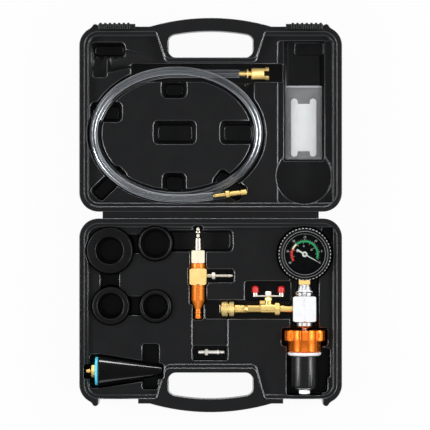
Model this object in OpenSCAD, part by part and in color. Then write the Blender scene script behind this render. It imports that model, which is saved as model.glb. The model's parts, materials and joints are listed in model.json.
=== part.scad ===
// Coolant vacuum refill kit: a moulded case that lies open on its two backs, with its tools in their pockets.
// The hinge folds along X at y = 0, with the base on the -Y side and the lid on the +Y side. Backs lie at z = 0.
// A distance from the fold line, in either half, is called v. Sizes are in millimetres and +Z is up.

/* [Case] */
// Width of each half
case_w = 288; // [280:1:320]
// Depth of each half, from its hinge edge to its front edge
case_d = 203; // [202:1:230]
// Height of each half, from its back to its rim
half_h = 40; // [39:1:50]
// Radius of the outer corners in plan
corner_r = 21; // [14:1:26]
// Width of the rim, from the outside to the cavity wall
rim_w = 9.5; // [8:0.5:10.5]
// Width of the flat rim outside the sealing ledge
ledge_inset = 5.5; // [4:0.5:7]
// Depth of the sealing ledge
ledge_drop = 1.5; // [0.5:0.5:3]
// Depth of the base's deck below its rim
base_deck_drop = 6; // [4:0.5:8]
// Depth of the lid's deck below its rim
lid_deck_drop = 10; // [9:0.5:12]
// Rounding of the edges of the backs
back_round = 6; // [3:0.5:8]
// Corner radius of the moulded pockets
pocket_r = 3; // [1.5:0.5:4]
// Room between a tool and the walls of its pocket
tool_clear = 1.5; // [1:0.1:2.2]
// Gap between a tool and the floor that carries it
seat_gap = 0.2; // [0.1:0.05:0.4]
// Depth of the tool axes below the rim
tool_sink = 10; // [9:0.5:11]

/* [Hinge] */
// Gap between the halves at the fold
hinge_gap = 7.4; // [6:0.2:10]
// Length of the film hinge
hinge_len = 237; // [160:1:240]
// Thickness of the film hinge
hinge_t = 1; // [0.6:0.1:1.6]
// Gap between the rims of the closed case
closed_gap = 0.3; // [0.2:0.05:0.6]

/* [Handle] */
// Width of the bowed handle bar
handle_w = 133.5; // [120:0.5:140]
// How far the bar bows out past the front edge
handle_rise = 9.5; // [6:0.5:12]
// Depth of the bar from front to back
handle_t = 14.4; // [12:0.2:18]
// Height of the bar in each half
handle_h = 15; // [12:1:20]
// Width of the grip opening
grip_w = 93; // [80:1:100]
// Depth of the grip opening
grip_d = 29; // [25:0.5:31]
// Corner radius of the grip opening
grip_r = 8.5; // [5:0.5:12]
// Width of the land behind the grip opening in the base
base_land = 9; // [6:0.5:10]
// Width of the land behind the grip opening in the lid
lid_land = 5; // [4:0.5:6]
// Width of the land beside the grip opening
side_land = 12; // [9:0.5:14]

/* [Latches] */
// Distance of each latch from the side of the case
latch_inset = 39; // [37:0.5:42]
// Width of a latch
latch_w = 35.5; // [30:0.5:36]
// How far a latch slides
latch_travel = 7; // [6:0.5:8]
// Number of thumb ribs on a latch
latch_ribs = 7; // [5:1:8]
// Clearance of the sliding latch
latch_clear = 0.3; // [0.2:0.05:0.4]
// Room beside a latch in its notch in the base
notch_room = 0.6; // [0.3:0.1:1]
// Width of a latch notch
notch_w = 43.8; // [42:0.2:48]
// Depth of a latch notch
notch_d = 5; // [4.6:0.2:5.4]

/* [Gauge] */
// Diameter of the gauge boot over its teeth
boot_d = 57.6; // [54:0.2:60]
// Number of teeth on the boot
boot_teeth = 46; // [36:1:54]
// Thickness of the gauge with its boot
gauge_t = 30; // [28:0.5:31]
// Diameter of the gauge can
can_d = 49; // [47:0.2:50]
// Wall of the gauge can
can_wall = 1; // [0.6:0.1:1.2]
// Opening of the bezel ring over the dial
bezel_bore = 44; // [42:0.2:45]
// Width across the flats of the gauge socket
socket_flats = 12.6; // [11:0.1:14]
// Length of the gauge socket outside the boot
socket_len = 4.9; // [3.5:0.1:6]

/* [Vacuum head] */
// Length of the fitting between gauge and block
adapter_len = 12.6; // [11:0.2:13.4]
// Width across the flats of the manifold block
block_flats = 25.8; // [24:0.2:27]
// Length of the manifold block
block_len = 28; // [27:0.5:29]
// Diameter of the collar below the block
collar_d = 20.8; // [18:0.2:23]
// Length of the collar below the block
collar_len = 6.5; // [5:0.5:7.5]
// Diameter of the centre tube
tube_d = 7; // [6.4:0.1:7.4]
// Bore of the centre tube
tube_bore = 4; // [3:0.1:4.4]
// Gap between the collar and the star knob
knob_gap = 2.8; // [2:0.1:3.4]
// Diameter over the lobes of the star knob
star_d = 47.7; // [44:0.1:48.4]
// Diameter at the valleys of the star knob
star_valley_d = 37.2; // [34:0.2:39]
// Width of a lobe of the star knob
lobe_w = 7.7; // [6:0.1:10]
// Number of lobes of the star knob
lobe_n = 6; // [5:1:8]
// Thickness of the star
star_t = 11.5; // [9:0.5:12]
// Diameter of the knob's hub
hub_d = 36.2; // [32:0.2:38]
// Length of the knob's hub
hub_len = 12.6; // [11:0.2:13.4]
// Diameter of the pressure washer
washer_d = 36.7; // [33:0.1:38]
// Thickness of the pressure washer
washer_t = 3.7; // [2.5:0.1:4.4]
// Diameter of the rubber plug
plug_d = 31.8; // [28:0.2:34]
// Room between the end of the head and the front wall of the base
head_room = 0.4; // [0:0.1:4]
// How far the plug can be squeezed
squeeze = 4.5; // [3:0.5:5]
// Running clearance of the knob on the centre tube
knob_clear = 0.08; // [0.02:0.01:0.1]

/* [Ball valve] */
// Distance from the block to the valve stem
stem_reach = 26.9; // [25:0.1:29]
// Diameter of the valve body
valve_d = 12; // [11.6:0.1:13.6]
// Diameter of the valve ball
ball_d = 8.6; // [8:0.1:8.8]
// Bore through the valve ball
ball_bore = 4.4; // [3.6:0.1:5]
// Width across the flats of the valve hexagon
valve_flats = 13.4; // [12.4:0.1:14.6]
// Diameter of the valve stem
stem_d = 3.5; // [3:0.1:3.8]
// Half length of the valve handle
lever_half = 18; // [16.5:0.2:18.4]
// Width of the handle plate
lever_w = 8; // [6:0.2:9]
// Thickness of the handle plate
lever_t = 1.6; // [1.2:0.1:2]
// Diameter of the handle caps
cap_d = 7.5; // [7:0.1:7.8]
// Running clearance of the valve stem
stem_clear = 0.05; // [0.02:0.01:0.1]

/* [Quick coupler] */
// Diameter of the coupler sleeve
sleeve_d = 16; // [14.4:0.2:17.4]
// Length of the coupler sleeve
sleeve_len = 16.2; // [14:0.2:17]
// Diameter of the coupler barrel behind the sleeve
barrel_d = 11.5; // [11.3:0.05:11.8]
// Diameter of the coupler tube inside the sleeve
coupler_tube_d = 10; // [9.7:0.05:10.2]
// Bore of the coupler socket
socket_bore = 7.8; // [7.2:0.1:8]
// How far the sleeve pulls back
sleeve_travel = 3; // [2:0.5:4]
// Running clearance of the sleeve on its tube
sleeve_clear = 0.08; // [0.02:0.01:0.1]

/* [Venturi] */
// Place of the venturi's axis from the middle
venturi_x = -13.9; // [-18:0.1:-13]
// Length of the air plug
air_plug_len = 26; // [23:0.5:27]
// Width across the flats of the inlet nut
inlet_flats = 14.7; // [13:0.1:16.4]
// Length of the inlet nut
inlet_len = 14.1; // [12:0.1:15]
// Diameter of the venturi body
venturi_d = 14.6; // [13.4:0.1:15.2]
// Width across the flats of the venturi's brass collar
venturi_flats = 19; // [18:0.1:20.4]
// Length of the brass collar
venturi_collar_len = 18; // [16:0.2:19]
// Length of the straight body behind the collar
venturi_len = 17.5; // [14:0.5:18.5]
// Diameter of the outlet tail
tail_d = 6.4; // [5.6:0.1:7.4]
// Length of the outlet tail
tail_len = 11; // [8:0.5:12]
// Reach of the suction barb from the collar
barb_reach = 28.9; // [25:0.1:30]

/* [Neck sleeves] */
// Height of the sleeves
neck_h = 31.8; // [28:0.2:32]
// Diameter of sleeve 1
neck_1_d = 51.3; // [48:0.1:52]
// Bore of sleeve 1
neck_1_bore = 29.6; // [26:0.1:33]
// Diameter of sleeve 2
neck_2_d = 38.2; // [36:0.1:40]
// Bore of sleeve 2
neck_2_bore = 31.8; // [28:0.1:32.4]
// Diameter of sleeve 3
neck_3_d = 41.7; // [39:0.1:44]
// Bore of sleeve 3
neck_3_bore = 28.1; // [25:0.1:31]
// Diameter of sleeve 4
neck_4_d = 35.6; // [33:0.1:38]
// Bore of sleeve 4
neck_4_bore = 27.1; // [24:0.1:29]
// Room round a sleeve in its pocket
neck_clear = 1; // [0.6:0.1:1.4]

/* [Cone plug] */
// Diameter of the cone's large end
cone_d = 34.5; // [32:0.1:35.5]
// Diameter of the cone's small end
cone_tip_d = 10; // [8.6:0.1:13]
// Length of the cone
cone_len = 70.7; // [62:0.1:71.5]
// Diameter of the sealing ring
ring_d = 31.2; // [28:0.1:32]
// Thickness of the sealing ring
ring_t = 3.3; // [2.4:0.1:3.6]
// Width across the flats of the cone's hexagon
cone_flats = 13.7; // [12:0.1:15]

/* [Hose] */
// Outside diameter of the hose
hose_d = 9; // [8.4:0.1:9.2]
// Bore of the hose
hose_bore = 6; // [5.7:0.1:6.4]
// Half width of the hose's oval at its start
coil_a = 88.5; // [87:0.5:89]
// Half depth of the hose's oval at its start
coil_b = 67.1; // [66:0.1:67.5]
// How much the oval grows along the hose
coil_grow = 4.2; // [3.6:0.2:4.4]
// Turns of the hose round its oval
coil_turns = 1.5; // [1.5:1:1.5]
// Diameter of the hose coupler's body
hose_coupler_d = 12.5; // [11:0.1:13]
// Diameter of the hose coupler's claws
claw_d = 14.6; // [13.4:0.1:15]

/* [Parts bag] */
// Width of the bag
bag_w = 41.6; // [36:0.2:42]
// Length of the bag
bag_len = 81.8; // [74:0.2:90]
// Thickness of the filled bag
bag_t = 6.4; // [5:0.2:8]
// Thickness of the bag's film as modelled
film_t = 0.6; // [0.4:0.1:0.9]

/* [Hidden] */
$fn = 64;

black_plastic = "#1c1c1e";
black_rubber = "#222224";
brass = "#c9a24a";
steel = "#b9bcc0";
silver = "#d9dadb";
orange = "#d9551e";

// Levels and edges of the case
edge_v = hinge_gap / 2;
front_v = edge_v + case_d;
left_x = -case_w / 2;
right_x = case_w / 2;
rim_z = half_h;
axis_z = rim_z - tool_sink;
base_deck_z = rim_z - base_deck_drop;
lid_deck_z = rim_z - lid_deck_drop;
wall_v = edge_v + rim_w;
fit = 0.05;
over = 1;

// Handle bar: two arcs about one centre in front of the grip opening
bow_r = (pow(handle_w / 2, 2) + pow(handle_rise, 2)) / (2 * handle_rise);
bow_v = front_v + handle_rise - bow_r;
grip_v = front_v + handle_rise - handle_t - grip_d;

// Latches: a ribbed plate with a lip over the rim and a tee that slides in the lid's front wall
latch_x = right_x - latch_inset;
notch_x = latch_x + latch_w / 2 + notch_room - notch_w / 2;
lug_r = 3.2;
lug_out = 2.8;
lug_blend = 9;
lug_h = 24;
lug_x = latch_x + latch_w / 2 + notch_room + lug_r;
latch_t = 1.8;
latch_low = 16;
lip_rise = 5;
lip_t = 4;
lip_in = 3.8;
rib_out = 1.2;
rib_up = 1;
tall_rib_up = 2;
tongue_len = 5;
tee_z = rim_z - 9;
tee_neck_h = 4;
tee_neck_d = 3;
tee_head_h = 8;
tee_head_d = 2.4;
tee_len = 24;

// Vacuum head: its axis runs away from the hinge, and each piece starts where the last one ends
gauge_r = boot_d / 2;
gauge_side_room = 2.5;
gauge_hinge_room = 1;
gauge_pocket_clear = tool_clear + 0.7;
head_x = right_x - rim_w - gauge_side_room - gauge_r;
gauge_v = wall_v + gauge_hinge_room + gauge_r;
adapter_v = gauge_v + gauge_r + socket_len;
block_v = adapter_v + adapter_len;
collar_v = block_v + block_len;
star_v = collar_v + collar_len + knob_gap;
hub_v = star_v + star_t;
washer_v = hub_v + hub_len;
plug_v = washer_v + washer_t;
end_washer_t = 2.5;
end_nut_t = 4.1;
head_end_v = front_v - rim_w - head_room;
end_nut_v = head_end_v - end_nut_t;
end_washer_v = end_nut_v - end_washer_t;
end_washer_d = 23;
end_nut_flats = 12;
spigot_r = 4.6;
spigot_len = 6;
tube_r = tube_d / 2;

// Gauge levels above the middle of its thickness
can_r = can_d / 2;
can_floor_z = -gauge_t / 2 + 1.2;
can_rim_z = gauge_t / 2 - 4;
lens_t = 1.2;
bezel_t = 1.2;
boot_lip = 0.8;
dial_t = 0.8;
dial_z = can_rim_z - 2.8;
needle_z = can_rim_z - 1.7;
needle_t = 0.6;
needle_len = 18.5;
needle_tail = 10;
needle_angle = -30;
plate_z = -3;
plate_t = 1.4;
tooth_module = 0.5;
pinion_teeth = 10;
sector_teeth = 50;
gear_z = 1;
gear_t = 3;
arbor_r = 0.9;
post_r = 1.2;
pinion_r = tooth_module * pinion_teeth / 2;
sector_r = tooth_module * sector_teeth / 2;
gear_reach = pinion_r + sector_r;
needle_sweep_angle = 240;
sector_sweep_angle = needle_sweep_angle * pinion_teeth / sector_teeth;
tube_ring_r = 19.5;
tube_w = 2.2;
tube_h = 5;
tube_z = -9.5;
socket_block_w = 10;

// Ball valve and quick coupler: their axis runs along -X from the block
valve_v = block_v + block_len / 2;
block_x = head_x - block_flats / 2;
valve_x = block_x - stem_reach;
valve_right = valve_x + 12.6;
valve_hex_x = valve_x + 7.1;
valve_left = valve_x - 8.2;
barrel_x = valve_left - 14.3;
sleeve_x = barrel_x - 14.2;
coupler_end = sleeve_x - sleeve_len - 0.8;
neck_r = 5;
seat_r = ball_d / 2 + 0.3;
seat_reach = 6;
boss_r = 4.2;
boss_top = 9.1;
gland_t = 3.6;
lever_v = valve_v - boss_top - gland_t - 0.8 - lever_t;
lever_nut_t = 4.4;
cap_post_r = 2.6;
cap_h = 7.6;
cap_seat = 2.8;
cap_x = lever_half - cap_d / 2;
lever_top_v = lever_v - cap_seat - cap_h;
coupler_bore = 4.4;
spring_wire = 0.6;
spring_turns = 5;
sleeve_bore_r = barrel_d / 2 + 0.2;
spring_x0 = sleeve_x - 7.1;
spring_r = (coupler_tube_d / 2 + sleeve_bore_r) / 2;
lock_ball_r = 0.9;
lock_ball_x = coupler_end + 5.4;

// Venturi: its axis runs away from the hinge
tip_v = edge_v + 9.1;
inlet_v = tip_v + air_plug_len;
venturi_neck_v = inlet_v + inlet_len;
venturi_neck_len = 5.8;
venturi_collar_v = venturi_neck_v + venturi_neck_len;
venturi_body_v = venturi_collar_v + venturi_collar_len;
taper_v = venturi_body_v + venturi_len;
taper_len = 8.8;
tail_v = taper_v + taper_len;
tail_end_v = tail_v + tail_len;
venturi_neck_d = venturi_d + 1.2;
barb_v = venturi_collar_v + 8.1;
barb_x = venturi_x + venturi_flats / 2;
plug_thread_r = 4.1;
chamber_r = 4;

// Spare nipple
nipple_v = front_v - 54.9;
nipple_x = -13.9;
nipple_len = 29.1;
nipple_flats = 6.8;
nipple_floor = 12;
nipple_z = nipple_floor + seat_gap + nipple_flats / 2 / cos(30);

// Neck sleeves as [x, v, diameter, bore]
necks = [
    [left_x + 33.1, edge_v + 35.2, neck_1_d, neck_1_bore],
    [left_x + 83.3, edge_v + 27.5, neck_2_d, neck_2_bore],
    [left_x + 34.2, edge_v + 96, neck_3_d, neck_3_bore],
    [left_x + 83.5, edge_v + 96.6, neck_4_d, neck_4_bore]
];
neck_floor = rim_z - neck_h - seat_gap;
finger_w = 21;
finger_z = neck_floor + 7;

// Cone plug: its axis runs along X
cone_v = front_v - 35.2;
cone_z = axis_z + 1;
cone_x = left_x + 20.5;
cone_end = cone_x + cone_len;
ring_x = cone_x - ring_t;
cone_hex_t = 4.4;
cone_hex_x = ring_x - cone_hex_t;
cone_neck = 1.1;
cone_nipple_len = 5.4;
cone_nipple_d = 6;
cone_stem_r = 4;
cone_stem_len = 8;
cone_bore_r = 3.1;
cone_floor = cone_z - cone_d / 2 - seat_gap;

// Hose: it leaves its coupler along -X, winds round an oval, climbs a layer and ends on the deck
coil_x = left_x + 106.6;
coil_v = edge_v + 85.7;
hose_floor = 12;
hose_low = hose_floor + seat_gap + hose_d / 2;
layer_gap = 0.6;
hose_high = hose_low + hose_d + layer_gap;
fitting_r = 4.85;
hose_top = lid_deck_z + seat_gap + fitting_r;
coil_start_angle = 90;
coil_end_angle = coil_start_angle + 360 * coil_turns;
climb_1_angles = [270, 400];
climb_2_angles = [510, 630];
lead_in = 77.3;
lead_out_bend = 300;
lead_out_turn = 36;
lead_out_len = 54;
hose_coupler_v = coil_v + coil_b;
hose_start_x = coil_x + lead_in;
barb_r = 2.6;
barb_root_r = 2.2;
barb_pitch = 2.4;

// Finger wells: walls that lean in from the deck down to the floor
well_draft = 5;
well_r = 4;
slot_draft = 3;

// Lid hollows
channel_room = 1.3;
plateau_a = coil_a - hose_d / 2 - channel_room;
plateau_b = coil_b - hose_d / 2 - channel_room;
channel_a = coil_a + coil_grow + hose_d / 2 + channel_room;
channel_b = coil_b + coil_grow + hose_d / 2 + channel_room;
strip_floor = hose_low - claw_d / 2 - seat_gap;
trough_floor = 8;
trough_r = 5;
trough_room = 0.7;
knob_half = sqrt(pow(star_d / 2, 2) - pow(tool_sink, 2));
trough_half = max(knob_half, bag_w / 2) + trough_room;
trough_v0 = edge_v + 56;
trough_v1 = end_washer_v + tool_clear;
trough_step = 4;
lid_finger_z = 6;
gauge_recess_z = 12;
strip_x0 = left_x + 56;
strip_x1 = coil_x + 117.8;
strip_half = 10;
panel_x = coil_x + 85.3;
peg_d = 4.4;
peg_h = 6;
lid_bed_z = lid_deck_z - 8;

// Finger wells of the lid as [x, v, width, depth, turn], of which the last two cross under the hose
lid_wells = [
    [coil_x - 2.8, coil_v + 49.8, 28.4, 21.6, 0],
    [left_x + 28.9, coil_v + 24.1, 35.8, 23, 0],
    [coil_x - 2.2, coil_v + 1.6, 47.2, 26.4, 0],
    [coil_x + 67.8, coil_v + 1.6, 40.4, 26.4, 0],
    [coil_x - 2.8, coil_v - 54.4, 26.4, 24, 0]
];
lid_slots = [
    [coil_x - 74.5, coil_v - 54.3, 43, 18.5, 44],
    [coil_x + 58.5, coil_v - 56.5, 38, 20, -38.7]
];

// Long slot of the base beside the second sleeve, for the fingers that lift the venturi
slot_x0 = left_x + 96;
slot_x1 = venturi_x + 38.4;
slot_v0 = edge_v + 12.7;
slot_v1 = edge_v + 36.8;
slot_z = axis_z - 17;

// Bed of the spare nipple, with a shallow tray on its hinge side
bed_room = 6.5;
bed_half = 8.2;
tray_len = 31;
tray_drop = 2.5;

// Parts bag, laid on the floor of the trough
bag_z = trough_floor + seat_gap;
bag_v = trough_v0 + 2;
clip_w = 28.5;
clip_leg_w = 7.5;
clip_len = 64.7;
clip_t = 3;
clip_gap_len = 6;

function unit(p) = p / norm(p);
function smooth(t) = t <= 0 ? 0 : t >= 1 ? 1 : t * t * (3 - 2 * t);
function oval(a, b) = [for (t = [0 : 6 : 354]) [coil_x + a * cos(t), coil_v + b * sin(t)]];

// Points of the hose from its coupler to its fitting
function coil_part(t) = (t - coil_start_angle) / (coil_end_angle - coil_start_angle);
function climb_part(t, climb) = (t - climb[0]) / (climb[1] - climb[0]);
function coil_point(t) = [
    coil_x + (coil_a + coil_grow * coil_part(t)) * cos(t),
    coil_v + (coil_b + coil_grow * coil_part(t)) * sin(t),
    hose_low + (hose_high - hose_low) * smooth(climb_part(t, climb_1_angles))
        + (hose_top - hose_high) * smooth(climb_part(t, climb_2_angles))
];
function lead_out_v(s) = s < lead_out_turn
    ? s * s / (2 * lead_out_bend)
    : lead_out_v_end + (s - lead_out_turn) * lead_out_slope;
lead_out_slope = lead_out_turn / lead_out_bend;
lead_out_v_end = lead_out_turn * lead_out_turn / (2 * lead_out_bend);
function lead_out_point(s) = coil_point(coil_end_angle) + [s, lead_out_v(s), 0];
hose_points = concat(
    [for (s = [lead_in, lead_in - hose_d, lead_in * 0.6, lead_in * 0.2])
        [coil_x + s, hose_coupler_v, hose_low]],
    [for (t = [coil_start_angle : 15 : coil_end_angle]) coil_point(t)],
    [for (s = [1 / 3, 2 / 3, 1]) lead_out_point(s * lead_out_turn)],
    [for (s = [lead_out_len - hose_d, lead_out_len]) lead_out_point(s)]
);
hose_end = hose_points[len(hose_points) - 1];
hose_end_turn = atan(lead_out_slope);

function runs(p) = [for (i = [1 : len(p) - 1]) norm(p[i] - p[i - 1])];
function total(list) = [for (v = list) 1] * list;
function least_gap(p, d, apart) = min([
    for (i = [0 : len(p) - 1]) for (j = [i + apart : 1 : len(p) - 1]) norm(p[i] - p[j])
]) - d;
fine_points = concat(
    [for (s = [lead_in : -4 : 4]) [coil_x + s, hose_coupler_v, hose_low]],
    [for (t = [coil_start_angle : 3 : coil_end_angle]) coil_point(t)],
    [for (s = [4 : 4 : lead_out_len]) lead_out_point(s)]
);
skip_n = 20;
hose_least_gap = least_gap(fine_points, hose_d, skip_n);
echo(hose_length = total(runs(fine_points)), hose_least_gap = hose_least_gap);
assert(hose_least_gap > 0.4, "the hose touches itself");

// Frame of a tube at a point: its direction, a level side and an upward normal
function heading(p, i) = unit(p[min(i + 1, len(p) - 1)] - p[max(i - 1, 0)]);
function ring(p, i, r, n) = let (
    t = heading(p, i),
    side = unit(cross(t, [0, 0, 1])),
    up = cross(side, t)
) [for (k = [0 : n - 1]) p[i] + r * (cos(360 * k / n) * side + sin(360 * k / n) * up)];
function ring_at(rows, n, i, k) = (i % rows) * n + (k % n);

// Tube along points, with a bore when bore is over zero
module tube(p, r, bore, n) {
    rows = len(p);
    outer = [for (i = [0 : rows - 1]) for (q = ring(p, i, r, n)) q];
    inner = [for (i = [rows - 1 : -1 : 0]) for (q = ring(p, i, bore, n)) q];
    points = concat(outer, bore > 0 ? inner : [p[rows - 1], p[0]]);
    layers = bore > 0 ? 2 * rows : rows;
    walls = [for (i = [0 : (bore > 0 ? layers : rows - 1) - 1]) for (k = [0 : n - 1]) each [
        [ring_at(layers, n, i, k), ring_at(layers, n, i + 1, k), ring_at(layers, n, i + 1, k + 1)],
        [ring_at(layers, n, i, k), ring_at(layers, n, i + 1, k + 1), ring_at(layers, n, i, k + 1)]
    ]];
    tip = rows * n;
    caps = bore > 0 ? [] : [for (k = [0 : n - 1]) each [
        [tip, (rows - 1) * n + (k + 1) % n, (rows - 1) * n + k], [tip + 1, k, (k + 1) % n]
    ]];
    polyhedron(points, concat(walls, caps), convexity = 6);
}

// Revolve of [radius, v] points about an axis that runs away from the hinge in the base
module turned_v(x, z, profile) {
    translate([x, 0, z]) rotate([90, 0, 0]) rotate_extrude() polygon(profile);
}

// Revolve of [radius, x] points about an axis along X
module turned_x(y, z, profile) {
    translate([0, y, z]) rotate([0, 90, 0]) rotate_extrude() polygon(profile);
}

// Plain round bar between two places on either axis
module rod_v(x, z, r, v0, v1) {
    translate([x, -v0, z]) rotate([90, 0, 0]) cylinder(r = r, h = v1 - v0);
}
module rod_x(y, z, r, x0, x1) {
    translate([x0, y, z]) rotate([0, 90, 0]) cylinder(r = r, h = x1 - x0);
}

// The same on the axes of the tools
module head_turned(profile) { turned_v(head_x, axis_z, profile); }
module head_rod(r, v0, v1) { rod_v(head_x, axis_z, r, v0, v1); }
module valve_turned(profile) { turned_x(-valve_v, axis_z, profile); }
module valve_rod(r, x0, x1) { rod_x(-valve_v, axis_z, r, x0, x1); }
module venturi_turned(profile) { turned_v(venturi_x, axis_z, profile); }
module venturi_rod(r, v0, v1) { rod_v(venturi_x, axis_z, r, v0, v1); }
module cone_turned(profile) { turned_x(-cone_v, cone_z, profile); }
module cone_rod(r, x0, x1) { rod_x(-cone_v, cone_z, r, x0, x1); }

// Hexagonal bar with chamfered ends and a corner facing up
module hex_v(x, z, flats, v0, v1, chamfer = 0.8) {
    tip_r = flats / 2 / cos(30);
    intersection() {
        translate([x, -v0, z]) rotate([90, 30, 0]) cylinder(r = tip_r, h = v1 - v0, $fn = 6);
        turned_v(x, z, [
            [0, v0], [tip_r - chamfer, v0], [tip_r + fit, v0 + chamfer], [tip_r + fit, v1 - chamfer],
            [tip_r - chamfer, v1], [0, v1]
        ]);
    }
}
module nut_v(x, flats, v0, v1, bore_r) {
    difference() {
        hex_v(x, axis_z, flats, v0, v1, 0.6);
        rod_v(x, axis_z, bore_r, v0 - over, v1 + over);
    }
}
module hex_x(y, z, flats, x0, x1, chamfer = 0.8) {
    tip_r = flats / 2 / cos(30);
    intersection() {
        translate([x0, y, z]) rotate([0, 90, 0]) cylinder(r = tip_r, h = x1 - x0, $fn = 6);
        turned_x(y, z, [
            [0, x0], [tip_r - chamfer, x0], [tip_r + fit, x0 + chamfer], [tip_r + fit, x1 - chamfer],
            [tip_r - chamfer, x1], [0, x1]
        ]);
    }
}

// Outer corners of a plan rounded, and inner corners filled
module rounded(r = pocket_r) { offset(r = r) offset(delta = -r) children(); }
module filled(r = pocket_r) { offset(r = -r) offset(delta = r) children(); }

// Hollow of the plan of its children, from a floor up through the rim
module pocket(floor_z) {
    translate([0, 0, floor_z]) linear_extrude(rim_z - floor_z + over) children();
}
// Hollow whose walls lean in by a draft from the deck to its floor; size is [x, v, width, depth, turn]
module well(size, deck_z, floor_z, draft = well_draft) {
    floor_w = size[2] - 2 * draft;
    floor_d = size[3] - 2 * draft;
    translate([size[0], size[1], floor_z]) rotate(size[4])
        linear_extrude(deck_z - floor_z + fit, slices = 1, scale = [size[2] / floor_w, size[3] / floor_d])
            rounded(well_r, $fn = 24) square([floor_w, floor_d], center = true);
}
// Plan of a box centred on an x, and of a box between corners
module band(x, half, v0, v1) { translate([x - half, v0]) square([2 * half, v1 - v0]); }
module patch(x0, v0, x1, v1) { translate([x0, v0]) square([x1 - x0, v1 - v0]); }

// Plan of a half without its handle bar
module half_outline() {
    translate([left_x + corner_r, edge_v + corner_r])
        offset(r = corner_r) square([case_w - 2 * corner_r, case_d - 2 * corner_r]);
}

// Plan of the part of the handle bar that bows out past the front edge
module bow_plan() {
    intersection() {
        translate([0, bow_v]) circle(r = bow_r, $fn = 360);
        band(0, handle_w / 2, front_v - over, front_v + handle_rise + over);
    }
}

// Plan of the lugs that stand out beside the latches, blended into the corners
module lug_plan() {
    difference() {
        filled(lug_blend) {
            half_outline();
            for (side = [-1, 1]) translate([side * lug_x, front_v + lug_out - lug_r]) circle(r = lug_r);
        }
        band(0, lug_x - lug_r, front_v, front_v + lug_out + over);
        band(0, case_w / 2 + over, edge_v - over, front_v - corner_r / 2);
    }
}

// Plan of the grip opening
module grip_plan() {
    rounded(grip_r) intersection() {
        translate([0, bow_v]) circle(r = bow_r - handle_t, $fn = 360);
        band(0, grip_w / 2, grip_v, front_v + handle_rise);
    }
}

// Plan of a cavity inside the rim, with a land left round the grip opening
module cavity_plan(inset, land) {
    filled(7) rounded(4) difference() {
        offset(delta = -inset) half_outline();
        polygon([
            [-grip_w / 2 - 3, grip_v - land], [grip_w / 2 + 3, grip_v - land],
            [grip_w / 2 + side_land, front_v - rim_w], [grip_w / 2 + side_land, front_v + over],
            [-grip_w / 2 - side_land, front_v + over], [-grip_w / 2 - side_land, front_v - rim_w]
        ]);
    }
}

// One half of the case with its rim, ledge, deck, grip opening and handle bar, drawn in x and v
module half_shell(deck_z, land) {
    difference() {
        union() {
            hull() {
                linear_extrude(fit) offset(delta = -back_round) half_outline($fn = 32);
                translate([0, 0, back_round * 0.3]) linear_extrude(fit)
                    offset(delta = -back_round * 0.3) half_outline($fn = 32);
                translate([0, 0, back_round]) linear_extrude(fit) half_outline($fn = 32);
            }
            translate([0, 0, back_round]) linear_extrude(rim_z - back_round) half_outline();
            translate([0, 0, rim_z - handle_h]) linear_extrude(handle_h) bow_plan();
            translate([0, 0, rim_z - lug_h]) linear_extrude(lug_h) lug_plan();
        }
        translate([0, 0, -over]) linear_extrude(rim_z + 2 * over) grip_plan();
        translate([-grip_w / 2, grip_v + grip_d / 2, -over])
            cube([grip_w, front_v - grip_v, rim_z - handle_h + over]);
        pocket(rim_z - ledge_drop) cavity_plan(ledge_inset, land - (rim_w - ledge_inset));
        pocket(deck_z) cavity_plan(rim_w, land);
    }
}

// Cut-outs in the base's front edge, and the slots that the latch tongues slide into
module latch_notches() {
    closed_z = 2 * rim_z + closed_gap - (rim_z + lip_rise);
    for (side = [-1, 1]) {
        translate([side * notch_x - notch_w / 2, front_v - notch_d, -over])
            cube([notch_w, notch_d + over, rim_z + 2 * over]);
        inner = side * (notch_x - notch_w / 2);
        translate([inner - (latch_travel - 1), front_v - notch_d, closed_z - lip_t - tall_rib_up - 0.5])
            cube([2 * (latch_travel - 1), notch_d + over, lip_t + tall_rib_up + 1]);
    }
}

// Plan of the venturi's pocket, which follows its silhouette
module venturi_plan() {
    inlet_half = inlet_flats / 2 + tool_clear;
    collar_half = venturi_flats / 2 + tool_clear;
    body_half = venturi_neck_d / 2 + tool_clear;
    rounded() {
        band(venturi_x, plug_thread_r + tool_clear, tip_v - tool_clear, inlet_v + over);
        band(venturi_x, inlet_half, inlet_v - tool_clear, venturi_collar_v);
        band(venturi_x, collar_half, venturi_collar_v - tool_clear, venturi_body_v + tool_clear);
        band(venturi_x, body_half, venturi_body_v, taper_v + taper_len / 2);
        band(venturi_x, tail_d / 2 + 2 * tool_clear, taper_v, tail_end_v + tool_clear);
        patch(venturi_x, barb_v - 7.5, barb_x + barb_reach + tool_clear, barb_v + 7.5);
    }
}

// Plan of the cone's pocket with the small bay for its brass end
module cone_plan() {
    big = cone_d / 2 + tool_clear;
    small = cone_tip_d / 2 + 2 * tool_clear;
    bay = cone_flats / 2 + tool_clear;
    rounded() {
        polygon([
            [cone_hex_x - tool_clear, cone_v - big], [cone_x + tool_clear, cone_v - big],
            [cone_end + tool_clear, cone_v - small], [cone_end + tool_clear, cone_v + small],
            [cone_x + tool_clear, cone_v + big], [cone_hex_x - tool_clear, cone_v + big]
        ]);
        patch(cone_hex_x - cone_neck - cone_nipple_len - tool_clear, cone_v - bay, cone_x, cone_v + bay);
    }
}

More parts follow.
